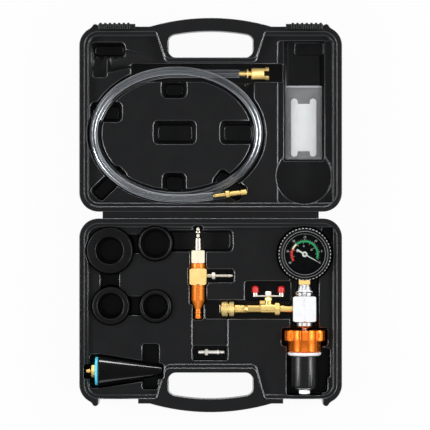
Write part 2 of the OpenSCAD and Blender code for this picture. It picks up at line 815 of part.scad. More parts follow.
// Hollows of the base, each one cut from its floor up
module base_pockets() {
    for (s = necks)
        translate([s[0], s[1], neck_floor]) cylinder(r = s[2] / 2 + neck_clear, h = rim_z);
    pocket(finger_z) {
        patch(necks[0][0], edge_v + 17.5, necks[1][0], edge_v + 17.5 + finger_w);
        band(necks[0][0], finger_w / 2, necks[0][1], necks[2][1]);
        patch(necks[2][0], necks[2][1] - finger_w / 2, necks[3][0], necks[2][1] + finger_w / 2);
    }
    well([(slot_x0 + slot_x1) / 2, (slot_v0 + slot_v1) / 2, slot_x1 - slot_x0, slot_v1 - slot_v0, 0],
        base_deck_z, slot_z, slot_draft);
    pocket(axis_z - venturi_flats / 2 / cos(30) - seat_gap) venturi_plan();
    bed_x0 = nipple_x - bed_room;
    bed_x1 = nipple_x + nipple_len + bed_room - 2.7;
    pocket(nipple_floor) rounded() patch(bed_x0, nipple_v - bed_half, bed_x1, nipple_v + bed_half);
    pocket(base_deck_z - tray_drop)
        rounded() patch(bed_x0, nipple_v - bed_half - tray_len, bed_x1, nipple_v - bed_half + over);
    // Cone, with finger bays on both sides of its slim end
    pocket(cone_floor) cone_plan();
    pocket(cone_floor) rounded() patch(cone_end - 22.5, cone_v - 30.1, cone_end - 3.8, cone_v);
    pocket(cone_floor) rounded() patch(cone_end - 22.5, cone_v, cone_end - 4.9, cone_v + 20.3);
    // Vacuum head
    translate([head_x, gauge_v, axis_z - gauge_t / 2 - seat_gap])
        cylinder(r = gauge_r + gauge_pocket_clear, h = rim_z);
    pocket(axis_z - 10) rounded() patch(head_x + 19, wall_v, right_x - rim_w, gauge_v - 13);
    pocket(axis_z - block_flats / 2 / cos(30) - seat_gap) {
        band(head_x, block_flats / 2 + 2 * tool_clear, gauge_v, star_v);
    }
    pocket(axis_z - star_d / 2 - tool_clear)
        rounded() band(head_x, star_d / 2 + tool_clear, star_v - knob_gap, hub_v + squeeze + tool_clear);
    pocket(axis_z - washer_d / 2 - tool_clear) rounded() union() {
        band(head_x, washer_d / 2 + tool_clear, hub_v, head_end_v + tool_clear - 0.4);
        patch(head_x, hub_v + 8, head_x + star_d / 2 + tool_clear + 3, head_end_v - 18);
        patch(head_x, head_end_v - 20, head_x + star_d / 2 + tool_clear, head_end_v - 2);
    }
    // Ball valve, with room for its lever to turn
    pocket(axis_z - valve_flats / 2 / cos(30) - 2)
        rounded() patch(coupler_end - 16, valve_v - sleeve_d / 2 - 2, head_x, valve_v + sleeve_d / 2 + 3);
    pocket(axis_z - lever_half - tool_clear)
        rounded() patch(valve_x - lever_half - 8, lever_top_v - 5.4, block_x - 1.3, valve_v - 8);
}

// Hollows of the lid
module lid_pockets() {
    // Channel of the hose round its oval plateau, and the strip that holds the hose coupler
    pocket(hose_floor) filled(2) difference() {
        union() {
            polygon(oval(channel_a, channel_b));
            rounded() patch(coil_x, coil_v, panel_x, hose_coupler_v);
        }
        polygon(oval(plateau_a, plateau_b));
    }
    pocket(strip_floor)
        rounded() patch(strip_x0, hose_coupler_v - strip_half, strip_x1, hose_coupler_v + strip_half);
    // Trough over the vacuum head with a shallow step round it, and the round recess over the gauge
    pocket(lid_deck_z - trough_step)
        rounded() patch(head_x - trough_half - 7, wall_v, right_x - rim_w, trough_v1);
    translate([head_x, trough_v1, 0]) rotate([90, 0, 0]) linear_extrude(trough_v1 - trough_v0)
        rounded(trough_r) patch(-trough_half, trough_floor, trough_half, rim_z + 2 * trough_r);
    translate([head_x, gauge_v, gauge_recess_z]) cylinder(r = gauge_r + gauge_pocket_clear, h = rim_z);
    pocket(gauge_recess_z) band(head_x, 15, gauge_v, trough_v0 + over);
    pocket(lid_finger_z)
        rounded() patch(head_x - 9.6, trough_v1 - 14.5, head_x + trough_half, trough_v1 - 0.5);
    // Bed over the cone, and the box beside its thick end
    translate([cone_x - 8, cone_v, rim_z]) rotate([0, 90, 0])
        cylinder(r1 = cone_d / 2 + tool_clear + 2, r2 = cone_tip_d / 2 + tool_clear + 2, h = cone_len + 8);
    well([cone_x + 10.9, cone_v + 10.8, 37.4, 16, 0], lid_deck_z, lid_finger_z, slot_draft);
    pocket(lid_bed_z) rounded() patch(cone_x - 7.1, cone_v - 20, cone_x + 9.5, cone_v);
    // Finger wells in and round the oval
    for (size = lid_wells) well(size, lid_deck_z, lid_finger_z);
    for (size = lid_slots) well(size, lid_deck_z, lid_finger_z, slot_draft);
}

// Tee slots for the latches in the lid's front wall
module latch_slots() {
    for (side = [-1, 1]) {
        middle = side * (latch_x - latch_travel / 2);
        long = tee_len + latch_travel + 2 * latch_clear;
        translate([middle - long / 2, front_v - tee_neck_d, tee_z - tee_neck_h / 2 - latch_clear])
            cube([long, tee_neck_d + over, tee_neck_h + 2 * latch_clear]);
        translate([
            middle - long / 2, front_v - tee_neck_d - tee_head_d - latch_clear,
            tee_z - tee_head_h / 2 - latch_clear
        ]) cube([long, tee_head_d + 2 * latch_clear, tee_head_h + 2 * latch_clear]);
    }
}

module case_base() {
    color(black_plastic) mirror([0, 1, 0]) difference() {
        half_shell(base_deck_z, base_land);
        latch_notches();
        base_pockets();
    }
}

module case_lid() {
    color(black_plastic) difference() {
        half_shell(lid_deck_z, lid_land);
        latch_slots();
        difference() {
            lid_pockets();
            translate([panel_x - 8, hose_coupler_v - strip_half - peg_d / 2 - over, 0])
                cylinder(d = peg_d, h = hose_floor + peg_h);
        }
    }
}

// Film hinge moulded between the two back walls, just below the rim
module hinge_strip() {
    color(black_plastic)
        translate([-hinge_len / 2, -edge_v, rim_z - 0.4 - hinge_t]) cube([hinge_len, hinge_gap, hinge_t]);
}

// Sliding latch about its own middle; inward is the direction of its tongue along X
module latch(inward) {
    plate_v = front_v + latch_clear;
    low = rim_z - latch_low;
    lip_z = rim_z + lip_rise;
    top = lip_z + lip_t;
    pitch = latch_w / latch_ribs;
    color(black_plastic) {
        translate([-latch_w / 2, plate_v, low]) cube([latch_w, latch_t, top - low]);
        translate([-latch_w / 2 - (inward > 0 ? 0 : tongue_len), front_v - lip_in, lip_z])
            cube([latch_w + tongue_len, lip_in + latch_clear + latch_t, lip_t]);
        for (i = [0 : latch_ribs - 1]) {
            up = i == latch_ribs - 1 ? tall_rib_up : rib_up;
            translate([-latch_w / 2 + i * pitch + pitch * 0.25, front_v - lip_in, top])
                cube([pitch * 0.5, lip_in + latch_clear + latch_t, up]);
            translate([-latch_w / 2 + i * pitch + pitch * 0.25, plate_v + latch_t, low + 2])
                cube([pitch * 0.5, rib_out, top + up - low - 2]);
        }
        translate([-tee_len / 2, front_v - tee_neck_d, tee_z - tee_neck_h / 2])
            cube([tee_len, tee_neck_d + latch_clear, tee_neck_h]);
        translate([-tee_len / 2, front_v - tee_neck_d - tee_head_d, tee_z - tee_head_h / 2])
            cube([tee_len, tee_head_d, tee_head_h]);
    }
}
module latch_left() { translate([-latch_x, 0, 0]) latch(1); }
module latch_right() { translate([latch_x, 0, 0]) latch(-1); }

module hose() {
    color("#e8e8e0", 0.5) tube(hose_points, hose_d / 2, hose_bore / 2, 12);
}

// Profile of a hose stub that ends at x: its tip, then a number of barbs
function barbs(x, n) = let (tip = x - n * barb_pitch - 1.7) concat(
    [[0, tip], [barb_root_r - 0.2, tip]],
    [for (i = [n : -1 : 1]) let (crest = x - i * barb_pitch + 0.6)
        each [[barb_r, crest], [barb_root_r, crest + 0.1]]],
    [[barb_root_r, x + fit]]
);

// Brass coupler on the start of the hose: barb, flange, waist, round body and two claws
module hose_coupler() {
    x0 = hose_start_x;
    body_r = hose_coupler_d / 2;
    color(brass) difference() {
        union() {
            turned_x(hose_coupler_v, hose_low, concat(barbs(x0, 3), [
                [5, x0 + fit], [5, x0 + 1.6], [2.6, x0 + 2], [2.6, x0 + 5], [body_r - 0.8, x0 + 5.2],
                [body_r, x0 + 6], [body_r, x0 + 20.6], [0, x0 + 20.6]
            ]));
            rod_x(hose_coupler_v, hose_low, claw_d / 2, x0 + 20.6, x0 + 24.4);
        }
        rod_x(hose_coupler_v, hose_low, body_r - 2.4, x0 + 12, x0 + 25.4);
        rod_x(hose_coupler_v, hose_low, 1.5, x0 - 9.9, x0 + 13);
        translate([x0 + 19.2, hose_coupler_v - 3, hose_low - claw_d]) cube([10, 6, 2 * claw_d]);
    }
}

// Brass fitting on the far end of the hose: barb, collar, stem and plug end
module hose_fitting() {
    color(brass) translate(hose_end) rotate([0, 0, hose_end_turn]) difference() {
        turned_x(0, 0, concat(barbs(0, 5), [
            [fitting_r, fit], [fitting_r, 4], [3.2, 4.6], [3.2, 15.2], [2.6, 15.4], [2.6, 16.2],
            [3.65, 16.5], [3.65, 22.6], [2.8, 23.8], [0, 23.8]
        ]));
        rod_x(0, 0, 1.5, -14.6, 25);
    }
}

// Clear bag as a flat pouch with drawn-in edges and an open mouth
module parts_bag() {
    section = [[-0.5, 0], [-0.42, -0.5], [0.42, -0.5], [0.5, 0], [0.42, 0.5], [-0.42, 0.5]];
    mid = bag_z + bag_t / 2;
    color("#dfe3e6", 0.4) translate([head_x, bag_v + bag_len, mid]) rotate([90, 0, 0]) difference() {
        linear_extrude(bag_len) polygon([for (p = section) [p[0] * bag_w, p[1] * bag_t]]);
        translate([0, 0, -over]) linear_extrude(bag_len - 1.5 + over)
            polygon([for (p = section) [p[0] * (bag_w - 2.4 * film_t), p[1] * (bag_t - 2 * film_t)]]);
    }
}

// White clip in the bag: two round-ended legs joined by a plate
module bagged_clip() {
    mid = bag_z + film_t + seat_gap;
    middle_v = bag_v + 3 + clip_len / 2;
    color("white") translate([head_x, middle_v, mid]) linear_extrude(clip_t) {
        for (side = [-1, 1]) translate([side * (clip_w - clip_leg_w) / 2, 0]) {
            square([clip_leg_w, clip_len - clip_leg_w], center = true);
            for (end = [-1, 1]) translate([0, end * (clip_len - clip_leg_w) / 2]) circle(d = clip_leg_w);
        }
        square([clip_w - clip_leg_w, clip_len - 2 * clip_gap_len], center = true);
    }
}

module manifold_block() {
    color(silver) difference() {
        hex_v(head_x, axis_z, block_flats, block_v, collar_v, 1.2);
        head_rod(3, block_v - over, collar_v + over);
        head_rod(spigot_r + fit, block_v - over, block_v + spigot_len + fit);
        head_rod(spigot_r + fit, collar_v - spigot_len - fit, collar_v + over);
        valve_rod(spigot_r + fit, block_x - over, block_x + spigot_len + fit);
        valve_rod(3, block_x, head_x);
    }
}

// Turned fitting between the gauge socket and the block, with a hexagon, a flange and a spigot
module gauge_adapter() {
    flange_v = adapter_v + adapter_len - 5;
    color(silver) difference() {
        union() {
            intersection() {
                hex_v(head_x, axis_z, 19.2, adapter_v, flange_v + 0.5, 0.4);
                head_turned([
                    [0, adapter_v], [8.2, adapter_v], [9.9, flange_v - 1], [11.2, flange_v + 1],
                    [0, flange_v + 1]
                ]);
            }
            head_turned([
                [0, flange_v], [10, flange_v], [11, flange_v + 0.8], [11, block_v - 1.6], [10.4, block_v],
                [spigot_r, block_v], [spigot_r, block_v + spigot_len], [0, block_v + spigot_len]
            ]);
        }
        head_rod(spigot_r + fit, adapter_v - over, adapter_v + spigot_len + fit);
        head_rod(3, adapter_v, block_v + spigot_len + over);
    }
}

// Pieces of the gauge are drawn about its middle, dial up, with the socket towards -Y
module at_gauge() { translate([head_x, -gauge_v, axis_z]) children(); }

module gauge_socket() {
    block_z = plate_z - 6;
    color(brass) difference() {
        union() {
            hex_v(head_x, axis_z, socket_flats, adapter_v - socket_len - 1.8, adapter_v);
            head_rod(spigot_r, gauge_v + 20.4, adapter_v + spigot_len);
            at_gauge() translate([-socket_block_w / 2, -21.5, block_z])
                cube([socket_block_w, 8, plate_z - block_z]);
        }
        head_rod(1.5, gauge_v + 18, adapter_v + spigot_len + over);
    }
}

// Rubber boot: a toothed band between smooth shoulders, a lip over the bezel and a hole for the socket
module gauge_boot() {
    half = gauge_t / 2;
    inner = can_r + fit;
    tip = gauge_r;
    root = gauge_r - 1.3;
    shoulder = gauge_r - 2.3;
    lip_r = bezel_bore / 2 + boot_lip + 0.9;
    color(black_rubber) difference() {
        union() {
            at_gauge() rotate_extrude() polygon([
                [inner, can_floor_z], [18, can_floor_z], [18, -half], [shoulder - 1, -half],
                [shoulder, 1 - half], [shoulder, half - 1.6], [shoulder - 1.6, half], [lip_r, half],
                [lip_r, can_rim_z + lens_t + bezel_t], [inner, can_rim_z + lens_t + bezel_t]
            ]);
            at_gauge() translate([0, 0, -half + 4]) linear_extrude(gauge_t - 9) difference() {
                polygon([for (i = [0 : boot_teeth - 1]) each [
                    for (q = [[-0.36, root], [-0.2, tip], [0.2, tip], [0.36, root]])
                        q[1] * [cos(360 * (i + q[0]) / boot_teeth), sin(360 * (i + q[0]) / boot_teeth)]
                ]]);
                circle(r = inner);
            }
        }
        head_rod(socket_flats / 2 / cos(30) + 0.6, gauge_v + 20, gauge_v + gauge_r + over);
    }
}

module gauge_can() {
    inner = can_r - can_wall;
    color(steel) difference() {
        at_gauge() rotate_extrude() polygon([
            [0, can_floor_z], [can_r, can_floor_z], [can_r, can_rim_z], [inner, can_rim_z],
            [inner, dial_z], [inner - 1.2, dial_z], [inner - 1.2, dial_z - 1.5], [inner, dial_z - 2.7],
            [inner, can_floor_z + can_wall], [0, can_floor_z + can_wall]
        ]);
        head_rod(spigot_r + 0.1, gauge_v + 20, gauge_v + gauge_r);
    }
}

module gauge_bezel() {
    low = can_rim_z + lens_t;
    color(silver) at_gauge() rotate_extrude() polygon([
        [bezel_bore / 2, low], [can_r, low], [can_r, low + bezel_t],
        [bezel_bore / 2 + 0.8, low + bezel_t]
    ]);
}

module gauge_dial() {
    color("black") at_gauge() translate([0, 0, dial_z]) difference() {
        cylinder(r = can_r - can_wall - 0.1, h = dial_t);
        translate([0, 0, -over]) cylinder(r = arbor_r + 0.4, h = dial_t + 2 * over);
    }
}

module gauge_lens() {
    color("#eef4f6", 0.3) at_gauge() translate([0, 0, can_rim_z]) cylinder(r = can_r - 0.1, h = lens_t);
}

// Flat spring tube, bent from the socket's block most of the way round the can
module bourdon_tube() {
    color(brass) at_gauge() rotate([0, 0, 12]) rotate_extrude(angle = 238)
        translate([tube_ring_r - tube_w / 2, tube_z]) square([tube_w, tube_h]);
}

// Plate that carries the arbor and the sector's post, screwed to the socket's block
module movement_plate() {
    color(brass) at_gauge() {
        difference() {
            translate([0, 0, plate_z]) linear_extrude(plate_t) {
                circle(r = 5);
                translate([gear_reach, 0]) circle(r = 3.2);
                translate([0, -2.4]) square([gear_reach, 4.8]);
                translate([-4, -20]) square([8, 20]);
            }
            translate([0, 0, plate_z - over]) cylinder(r = arbor_r + fit, h = plate_t + 2 * over);
        }
        translate([gear_reach, 0, plate_z + fit]) cylinder(r = post_r, h = gear_z + gear_t + 1 - plate_z);
    }
}

// Outline of one gear tooth about its gear's centre, from root to tip and back
function tooth(angle, root, tip) = [
    for (q = [[root, -0.42], [tip, -0.2], [tip, 0.2], [root, 0.42]])
        let (a = angle + q[1] / q[0] * 180 / PI) q[0] * [cos(a), sin(a)]
];
tooth_up = 0.4;
tooth_down = 0.65;

// Sector about its post: the teeth that mesh over the sweep, a web, a hub and a tail pin over the spring tube
module sector_gear() {
    pitch = 360 / sector_teeth;
    count = ceil(sector_sweep_angle / pitch) + 3;
    low = plate_z + plate_t + 0.1;
    pin_z = tube_z + tube_h + 0.1;
    color(brass) at_gauge() translate([gear_reach, 0, 0]) difference() {
        union() {
            translate([0, 0, gear_z + 0.2]) linear_extrude(gear_t - 0.4) polygon(concat([[1.8, 0]], [
                for (i = [-1 : count - 2])
                    each tooth(180 + i * pitch, sector_r - tooth_down, sector_r + tooth_up)
            ]));
            rotate([0, 0, 60]) translate([0, -1, gear_z + 0.2]) cube([5.2, 2, gear_t - 0.4]);
            rotate([0, 0, 60]) translate([4.5, 0, pin_z]) cylinder(r = 0.6, h = gear_z + 1 - pin_z);
            translate([0, 0, low]) cylinder(r = 2.6, h = gear_z + gear_t - low);
        }
        translate([0, 0, plate_z]) cylinder(r = post_r + fit, h = 2 * gear_t - plate_z);
    }
}

// Arbor with its pinion; a gap between two teeth faces the sector
module pinion_arbor() {
    pitch = 360 / pinion_teeth;
    color(brass) at_gauge() {
        translate([0, 0, plate_z + 0.2]) cylinder(r = arbor_r, h = needle_z - plate_z - 0.2);
        translate([0, 0, plate_z + plate_t + 0.1]) cylinder(r = 1.7, h = 1.2);
        translate([0, 0, gear_z]) linear_extrude(gear_t) polygon([
            for (i = [0 : pinion_teeth - 1])
                each tooth((i + 0.5) * pitch, pinion_r - tooth_down, pinion_r + tooth_up)
        ]);
    }
}

module gauge_needle() {
    color("white") at_gauge() translate([0, 0, needle_z]) {
        rotate(needle_angle) linear_extrude(needle_t)
            polygon([
                [-needle_tail, -1], [-needle_tail, 1], [0, 0.7], [needle_len, 0.15], [needle_len, -0.15],
                [0, -0.7]
            ]);
        cylinder(r = 3, h = needle_t);
        cylinder(r = 1.8, h = 1.3);
    }
}

module lower_collar() {
    r = collar_d / 2;
    end = collar_v + collar_len;
    color(silver) head_turned([
        [tube_r + fit, collar_v], [r - 0.8, collar_v], [r, collar_v + 0.8], [r, end - 2], [r - 2, end],
        [tube_r + fit, end]
    ]);
}

module centre_tube() {
    start = collar_v - spigot_len;
    color(steel) head_turned([
        [tube_bore / 2, start], [spigot_r, start], [spigot_r, collar_v], [tube_r, collar_v],
        [tube_r, head_end_v - 0.5], [tube_bore / 2, head_end_v - 0.5]
    ]);
}

// Star knob with blunt lobes, a round hub and a running bore on the centre tube
module star_knob() {
    valley_r = star_valley_d / 2;
    hub_r = hub_d / 2;
    color(orange) difference() {
        union() {
            intersection() {
                translate([head_x, -star_v, axis_z]) rotate([90, 0, 0]) linear_extrude(star_t)
                    filled(2) rounded(1.4) union() {
                        circle(r = valley_r);
                        for (i = [0 : lobe_n - 1]) rotate(90 + i * 360 / lobe_n)
                            translate([0, -lobe_w / 2]) square([star_d / 2, lobe_w]);
                    }
                head_turned([
                    [0, star_v], [star_d / 2 - 1, star_v], [star_d / 2, star_v + 1],
                    [star_d / 2, hub_v - 1], [star_d / 2 - 1, hub_v], [0, hub_v]
                ]);
            }
            head_turned([
                [0, hub_v - over], [hub_r, hub_v - over], [hub_r, washer_v - 1.4],
                [hub_r - 1.4, washer_v], [0, washer_v]
            ]);
        }
        head_rod(tube_r + knob_clear, star_v - over, washer_v + over);
    }
}

module pressure_washer() {
    r = washer_d / 2;
    color("white") head_turned([
        [tube_r + knob_clear, washer_v + 0.1], [r - 0.5, washer_v + 0.1], [r, washer_v + 0.6],
        [r, plug_v - 1.2], [r - 1.2, plug_v], [tube_r + knob_clear, plug_v]
    ]);
}

module rubber_plug() {
    r = plug_d / 2;
    color(black_rubber) head_turned([
        [tube_r + fit, plug_v], [r - 0.6, plug_v], [r, plug_v + 1.5], [r, end_washer_v - 3],
        [r - 1.2, end_washer_v - 0.6], [r - 2, end_washer_v], [tube_r + fit, end_washer_v]
    ]);
}

module end_washer() {
    r = end_washer_d / 2;
    color(steel) head_turned([
        [tube_r + fit, end_washer_v], [r, end_washer_v], [r, end_washer_v + 0.6], [r - 4, end_nut_v],
        [tube_r + fit, end_nut_v]
    ]);
}

module end_nut() {
    color(steel) nut_v(head_x, end_nut_flats, end_nut_v, head_end_v, tube_r + fit);
}

module valve_nipple() {
    color(brass) difference() {
        union() {
            valve_rod(4.75, valve_right, block_x);
            valve_rod(spigot_r, block_x - over, block_x + spigot_len);
            valve_rod(4.3, valve_right - 4.5, valve_right + over);
        }
        valve_rod(3, valve_right - 5.5, block_x + spigot_len + over);
    }
}

// Valve body: round chamber, hexagon at the block's end, boss for the stem and a small stop lug
module valve_body() {
    wall_x = valve_x + seat_reach;
    color(brass) difference() {
        union() {
            valve_rod(valve_d / 2, valve_left, valve_hex_x + over);
            hex_x(-valve_v, axis_z, valve_flats, valve_hex_x, valve_right);
            rod_v(valve_x, axis_z, boss_r, valve_v - boss_top, valve_v);
            translate([valve_x - 9.2, -valve_v + boss_top - 4, axis_z - 1]) cube([6, 4, 2]);
        }
        valve_rod(seat_r + fit, valve_left - over, wall_x);
        valve_rod(ball_bore / 2, wall_x - over, valve_right);
        valve_rod(4.3 + fit, valve_right - 4.5 - fit, valve_right + over);
        rod_v(valve_x, axis_z, stem_d / 2 + stem_clear, valve_v - boss_top - over, valve_v);
    }
}

// Two seat rings, hollowed to the ball
module valve_seats() {
    hollow_r = ball_d / 2 + stem_clear;
    inner = ball_bore / 2 + 0.2;
    face = 3;
    from = acos(face / hollow_r);
    to = asin(inner / hollow_r);
    color("white") for (side = [-1, 1])
        valve_turned(concat(
            [for (i = [0 : 4]) let (a = from + (to - from) * i / 4)
                [hollow_r * sin(a), valve_x + side * hollow_r * cos(a)]],
            [[inner, valve_x + side * seat_reach], [seat_r, valve_x + side * seat_reach],
            [seat_r, valve_x + side * face]]
        ));
}

module valve_ball() {
    r = ball_d / 2;
    lip = acos(ball_bore / ball_d);
    color(silver) difference() {
        valve_turned([for (i = [-6 : 6]) [r * cos(lip * i / 6), valve_x + r * sin(lip * i / 6)]]);
        translate([valve_x - 2, -valve_v + r - 1.2, axis_z - 0.7]) cube([4, 2, 1.4]);
    }
}

// Stem from the slot in the ball to the handle nut
module valve_stem() {
    color(brass) {
        rod_v(valve_x, axis_z, stem_d / 2, lever_v - lever_nut_t, valve_v - ball_d / 2 - 0.1);
        translate([valve_x - 1.4, -valve_v + ball_d / 2 - 1.1, axis_z - 0.6]) cube([2.8, 1.4, 1.2]);
    }
}

module gland_nut() {
    top_v = valve_v - boss_top;
    color(brass) nut_v(valve_x, 7.6, top_v - gland_t, top_v, stem_d / 2 + stem_clear);
}

// Lever plate with a shouldered post at each end
module valve_handle() {
    color(silver) difference() {
        union() {
            translate([valve_x, -lever_v, axis_z]) rotate([90, 0, 0]) linear_extrude(lever_t) {
                square([2 * (lever_half - lever_w / 2), lever_w], center = true);
                for (side = [-1, 1]) translate([side * (lever_half - lever_w / 2), 0]) circle(d = lever_w);
            }
            for (side = [-1, 1]) {
                rod_v(valve_x + side * cap_x, axis_z, cap_d / 2 - 0.35, lever_v - cap_seat, lever_v + fit);
                rod_v(valve_x + side * cap_x, axis_z, cap_post_r, lever_top_v + 2, lever_v);
            }
        }
        rod_v(valve_x, axis_z, stem_d / 2 + fit, lever_v - over, lever_v + lever_t + over);
    }
}

// Soft domed caps over the posts
module handle_caps() {
    r = cap_d / 2;
    base_v = lever_v - cap_seat;
    dome = [for (a = [0 : 15 : 90]) [r * cos(a), lever_top_v + 3 - 3 * sin(a)]];
    color("#c8201c") for (side = [-1, 1])
        turned_v(valve_x + side * cap_x, axis_z, concat(
            [[cap_post_r + fit, base_v], [r, base_v]], dome,
            [[0, lever_top_v + 1.9], [cap_post_r + fit, lever_top_v + 1.9]]
        ));
}

module handle_nut() {
    color(silver) nut_v(valve_x, 6.7, lever_v - lever_nut_t, lever_v, stem_d / 2 + fit);
}

// Coupler body: spigot in the valve, neck, barrel with two flats, and the tube that the sleeve slides on
module coupler_body() {
    barrel_r = barrel_d / 2;
    tube_out = coupler_tube_d / 2;
    color(brass) difference() {
        union() {
            valve_rod(seat_r, valve_left - over, valve_x - seat_reach - fit);
            valve_rod(neck_r, barrel_x - over, valve_left);
            valve_turned([
                [0, sleeve_x], [barrel_r, sleeve_x], [barrel_r, barrel_x - 1], [barrel_r - 0.6, barrel_x],
                [0, barrel_x]
            ]);
            valve_rod(tube_out, coupler_end, sleeve_x + over);
        }
        valve_rod(socket_bore / 2, coupler_end - over, coupler_end + 14.3);
        valve_rod(coupler_bore / 2, coupler_end, valve_x);
        for (a = [0 : 90 : 270]) translate([lock_ball_x, -valve_v, axis_z]) rotate([a, 0, 0])
            cylinder(r = lock_ball_r + fit, h = tube_out + over);
        translate([coupler_end + fit, -valve_v, axis_z]) rotate([0, 90, 0]) difference() {
            cylinder(r = tube_out + over, h = 0.7);
            translate([0, 0, -over]) cylinder(r = tube_out - 0.4, h = 3);
        }
    }
}

// Sleeve with two grip bands, a groove between them and a wide bore for the spring
module coupler_sleeve() {
    r = sleeve_d / 2;
    x0 = sleeve_x - sleeve_len;
    groove = x0 + sleeve_len * 0.56;
    color(brass) valve_turned([
        [coupler_tube_d / 2 + sleeve_clear, x0], [r - 1.6, x0], [r, x0 + 1.6], [r, groove - 0.9],
        [r - 0.8, groove - 0.5], [r - 0.8, groove + 0.5], [r, groove + 0.9], [r, sleeve_x - 1],
        [r - 1, sleeve_x - fit], [sleeve_bore_r, sleeve_x - fit], [sleeve_bore_r, spring_x0 - 0.1],
        [coupler_tube_d / 2 + sleeve_clear, spring_x0 - 0.1]
    ]);
}

// Return spring between the sleeve's step and the barrel
module coupler_spring() {
    steps = spring_turns * 12;
    span = sleeve_x - spring_x0 - spring_wire - 0.1;
    points = [for (i = [0 : steps]) [
        spring_x0 + spring_wire / 2 + span * i / steps,
        -valve_v + spring_r * cos(30 * i),
        axis_z + spring_r * sin(30 * i)
    ]];
    echo(spring_least_gap = span / spring_turns - spring_wire);
    color(steel) tube(points, spring_wire / 2, 0, 6);
}

module coupler_balls() {
    color(silver) for (a = [0 : 90 : 270]) translate([lock_ball_x, -valve_v, axis_z]) rotate([a, 0, 0])
        translate([0, 0, coupler_tube_d / 2 - lock_ball_r]) sphere(r = lock_ball_r);
}

module coupler_ring() {
    inner = coupler_tube_d / 2 - 0.4;
    color(steel) valve_turned([
        [inner + 0.02, coupler_end + fit + 0.05], [inner + 1.7, coupler_end + fit + 0.05],
        [inner + 1.7, coupler_end + fit + 0.65], [inner + 0.02, coupler_end + fit + 0.65]
    ]);
}

// Venturi body with its inlet, chamber, throat and flared outlet
module venturi_body() {
    r = venturi_d / 2;
    neck = venturi_neck_d / 2;
    tail = tail_d / 2;
    throat_v = barb_v + 9;
    color(orange) difference() {
        venturi_turned([
            [0, venturi_neck_v], [neck - 0.6, venturi_neck_v], [neck, venturi_neck_v + 0.6],
            [neck, venturi_collar_v], [r, venturi_collar_v], [r, taper_v - 1], [r - 0.3, taper_v],
            [tail + 0.4, tail_v], [tail, tail_v + 0.2], [tail, tail_v + 3], [tail + 0.5, tail_v + 3.6],
            [tail + 0.5, tail_v + 5], [tail, tail_v + 5.6], [tail, tail_end_v - 2.4],
            [tail + 0.5, tail_end_v - 1.8], [tail, tail_end_v], [0, tail_end_v]
        ]);
        venturi_turned([
            [0, venturi_neck_v - over], [spigot_r + fit, venturi_neck_v - over],
            [spigot_r + fit, venturi_neck_v + spigot_len + 3],
            [chamber_r, venturi_neck_v + spigot_len + 3], [chamber_r, throat_v - 3], [1.6, throat_v],
            [1.6, throat_v + 5], [2.2, tail_end_v + over], [0, tail_end_v + over]
        ]);
        rod_x(-barb_v, axis_z, 2.4 + fit, venturi_x, barb_x);
    }
}

module venturi_nozzle() {
    seat_v = venturi_neck_v + spigot_len + fit;
    color(brass) difference() {
        venturi_turned([
            [0, seat_v], [spigot_r, seat_v], [spigot_r, seat_v + 2.9], [chamber_r - 0.5, seat_v + 2.9],
            [1.4, seat_v + 10], [0, seat_v + 10]
        ]);
        venturi_rod(0.7, seat_v - over, seat_v + 11);
    }
}

module venturi_collar() {
    color(brass) difference() {
        hex_v(venturi_x, axis_z, venturi_flats, venturi_collar_v, venturi_body_v, 1.2);
        venturi_rod(venturi_d / 2 + fit, venturi_collar_v - over, venturi_body_v + over);
        rod_x(-barb_v, axis_z, 2.4 + fit, venturi_x, barb_x + over);
    }
}

module venturi_inlet_nut() {
    color(silver) difference() {
        union() {
            hex_v(venturi_x, axis_z, inlet_flats, inlet_v, venturi_neck_v);
            venturi_rod(spigot_r, venturi_neck_v - over, venturi_neck_v + spigot_len);
        }
        venturi_rod(plug_thread_r + fit, inlet_v - over, inlet_v + 6 + fit);
        venturi_rod(2, inlet_v, venturi_neck_v + spigot_len + over);
    }
}

// Steel air plug: tip, bead, waist, body and thread
module air_plug() {
    v = tip_v;
    color(steel) difference() {
        venturi_turned([
            [0, v], [2.2, v], [2.7, v + 0.6], [2.7, v + 4.2], [3.8, v + 5.4], [3.8, v + 6.8],
            [2.4, v + 8.4], [2.4, v + 11.4], [3.9, v + 12.8], [4.2, inlet_v - 0.6], [4.2, inlet_v],
            [plug_thread_r, inlet_v], [plug_thread_r, inlet_v + 6], [0, inlet_v + 6]
        ]);
        venturi_rod(1.5, v - over, inlet_v + 7);
    }
}

// Steel side barb: spigot through collar and body, hexagon and ribbed hose end
module suction_barb() {
    x0 = barb_x;
    x1 = barb_x + barb_reach;
    color(steel) difference() {
        union() {
            rod_x(-barb_v, axis_z, 2.4, venturi_x + chamber_r, x0 + over);
            rod_x(-barb_v, axis_z, 2.9, x0, x0 + 6);
            hex_x(-barb_v, axis_z, 7.9, x0 + 5.7, x0 + 9.4, 0.6);
            turned_x(-barb_v, axis_z, [
                [0, x0 + 9], [2, x0 + 9], [2, x0 + 14], [2.4, x0 + 14.4], [2, x0 + 16.6], [2, x0 + 18],
                [2.5, x0 + 18.4], [2, x0 + 21], [2, x1 - 6], [2.6, x1 - 5.4], [1.8, x1], [0, x1]
            ]);
        }
        rod_x(-barb_v, axis_z, 1.1, venturi_x, x1 + over);
    }
}

module spare_nipple() {
    x0 = nipple_x;
    x1 = nipple_x + nipple_len;
    color(steel) difference() {
        union() {
            turned_x(-nipple_v, nipple_z, [
                [0, x0], [1.4, x0], [1.8, x0 + 0.6], [1.8, x0 + 7.5], [2, x0 + 11], [2, x0 + 20.6],
                [2.6, x0 + 21.2], [2.6, x0 + 23], [1.7, x0 + 24], [1.7, x1 - 0.6], [1.3, x1], [0, x1]
            ]);
            hex_x(-nipple_v, nipple_z, nipple_flats, x0 + 7.4, x0 + 11, 0.6);
        }
        rod_x(-nipple_v, nipple_z, 0.9, x0 - over, x1 + over);
    }
}

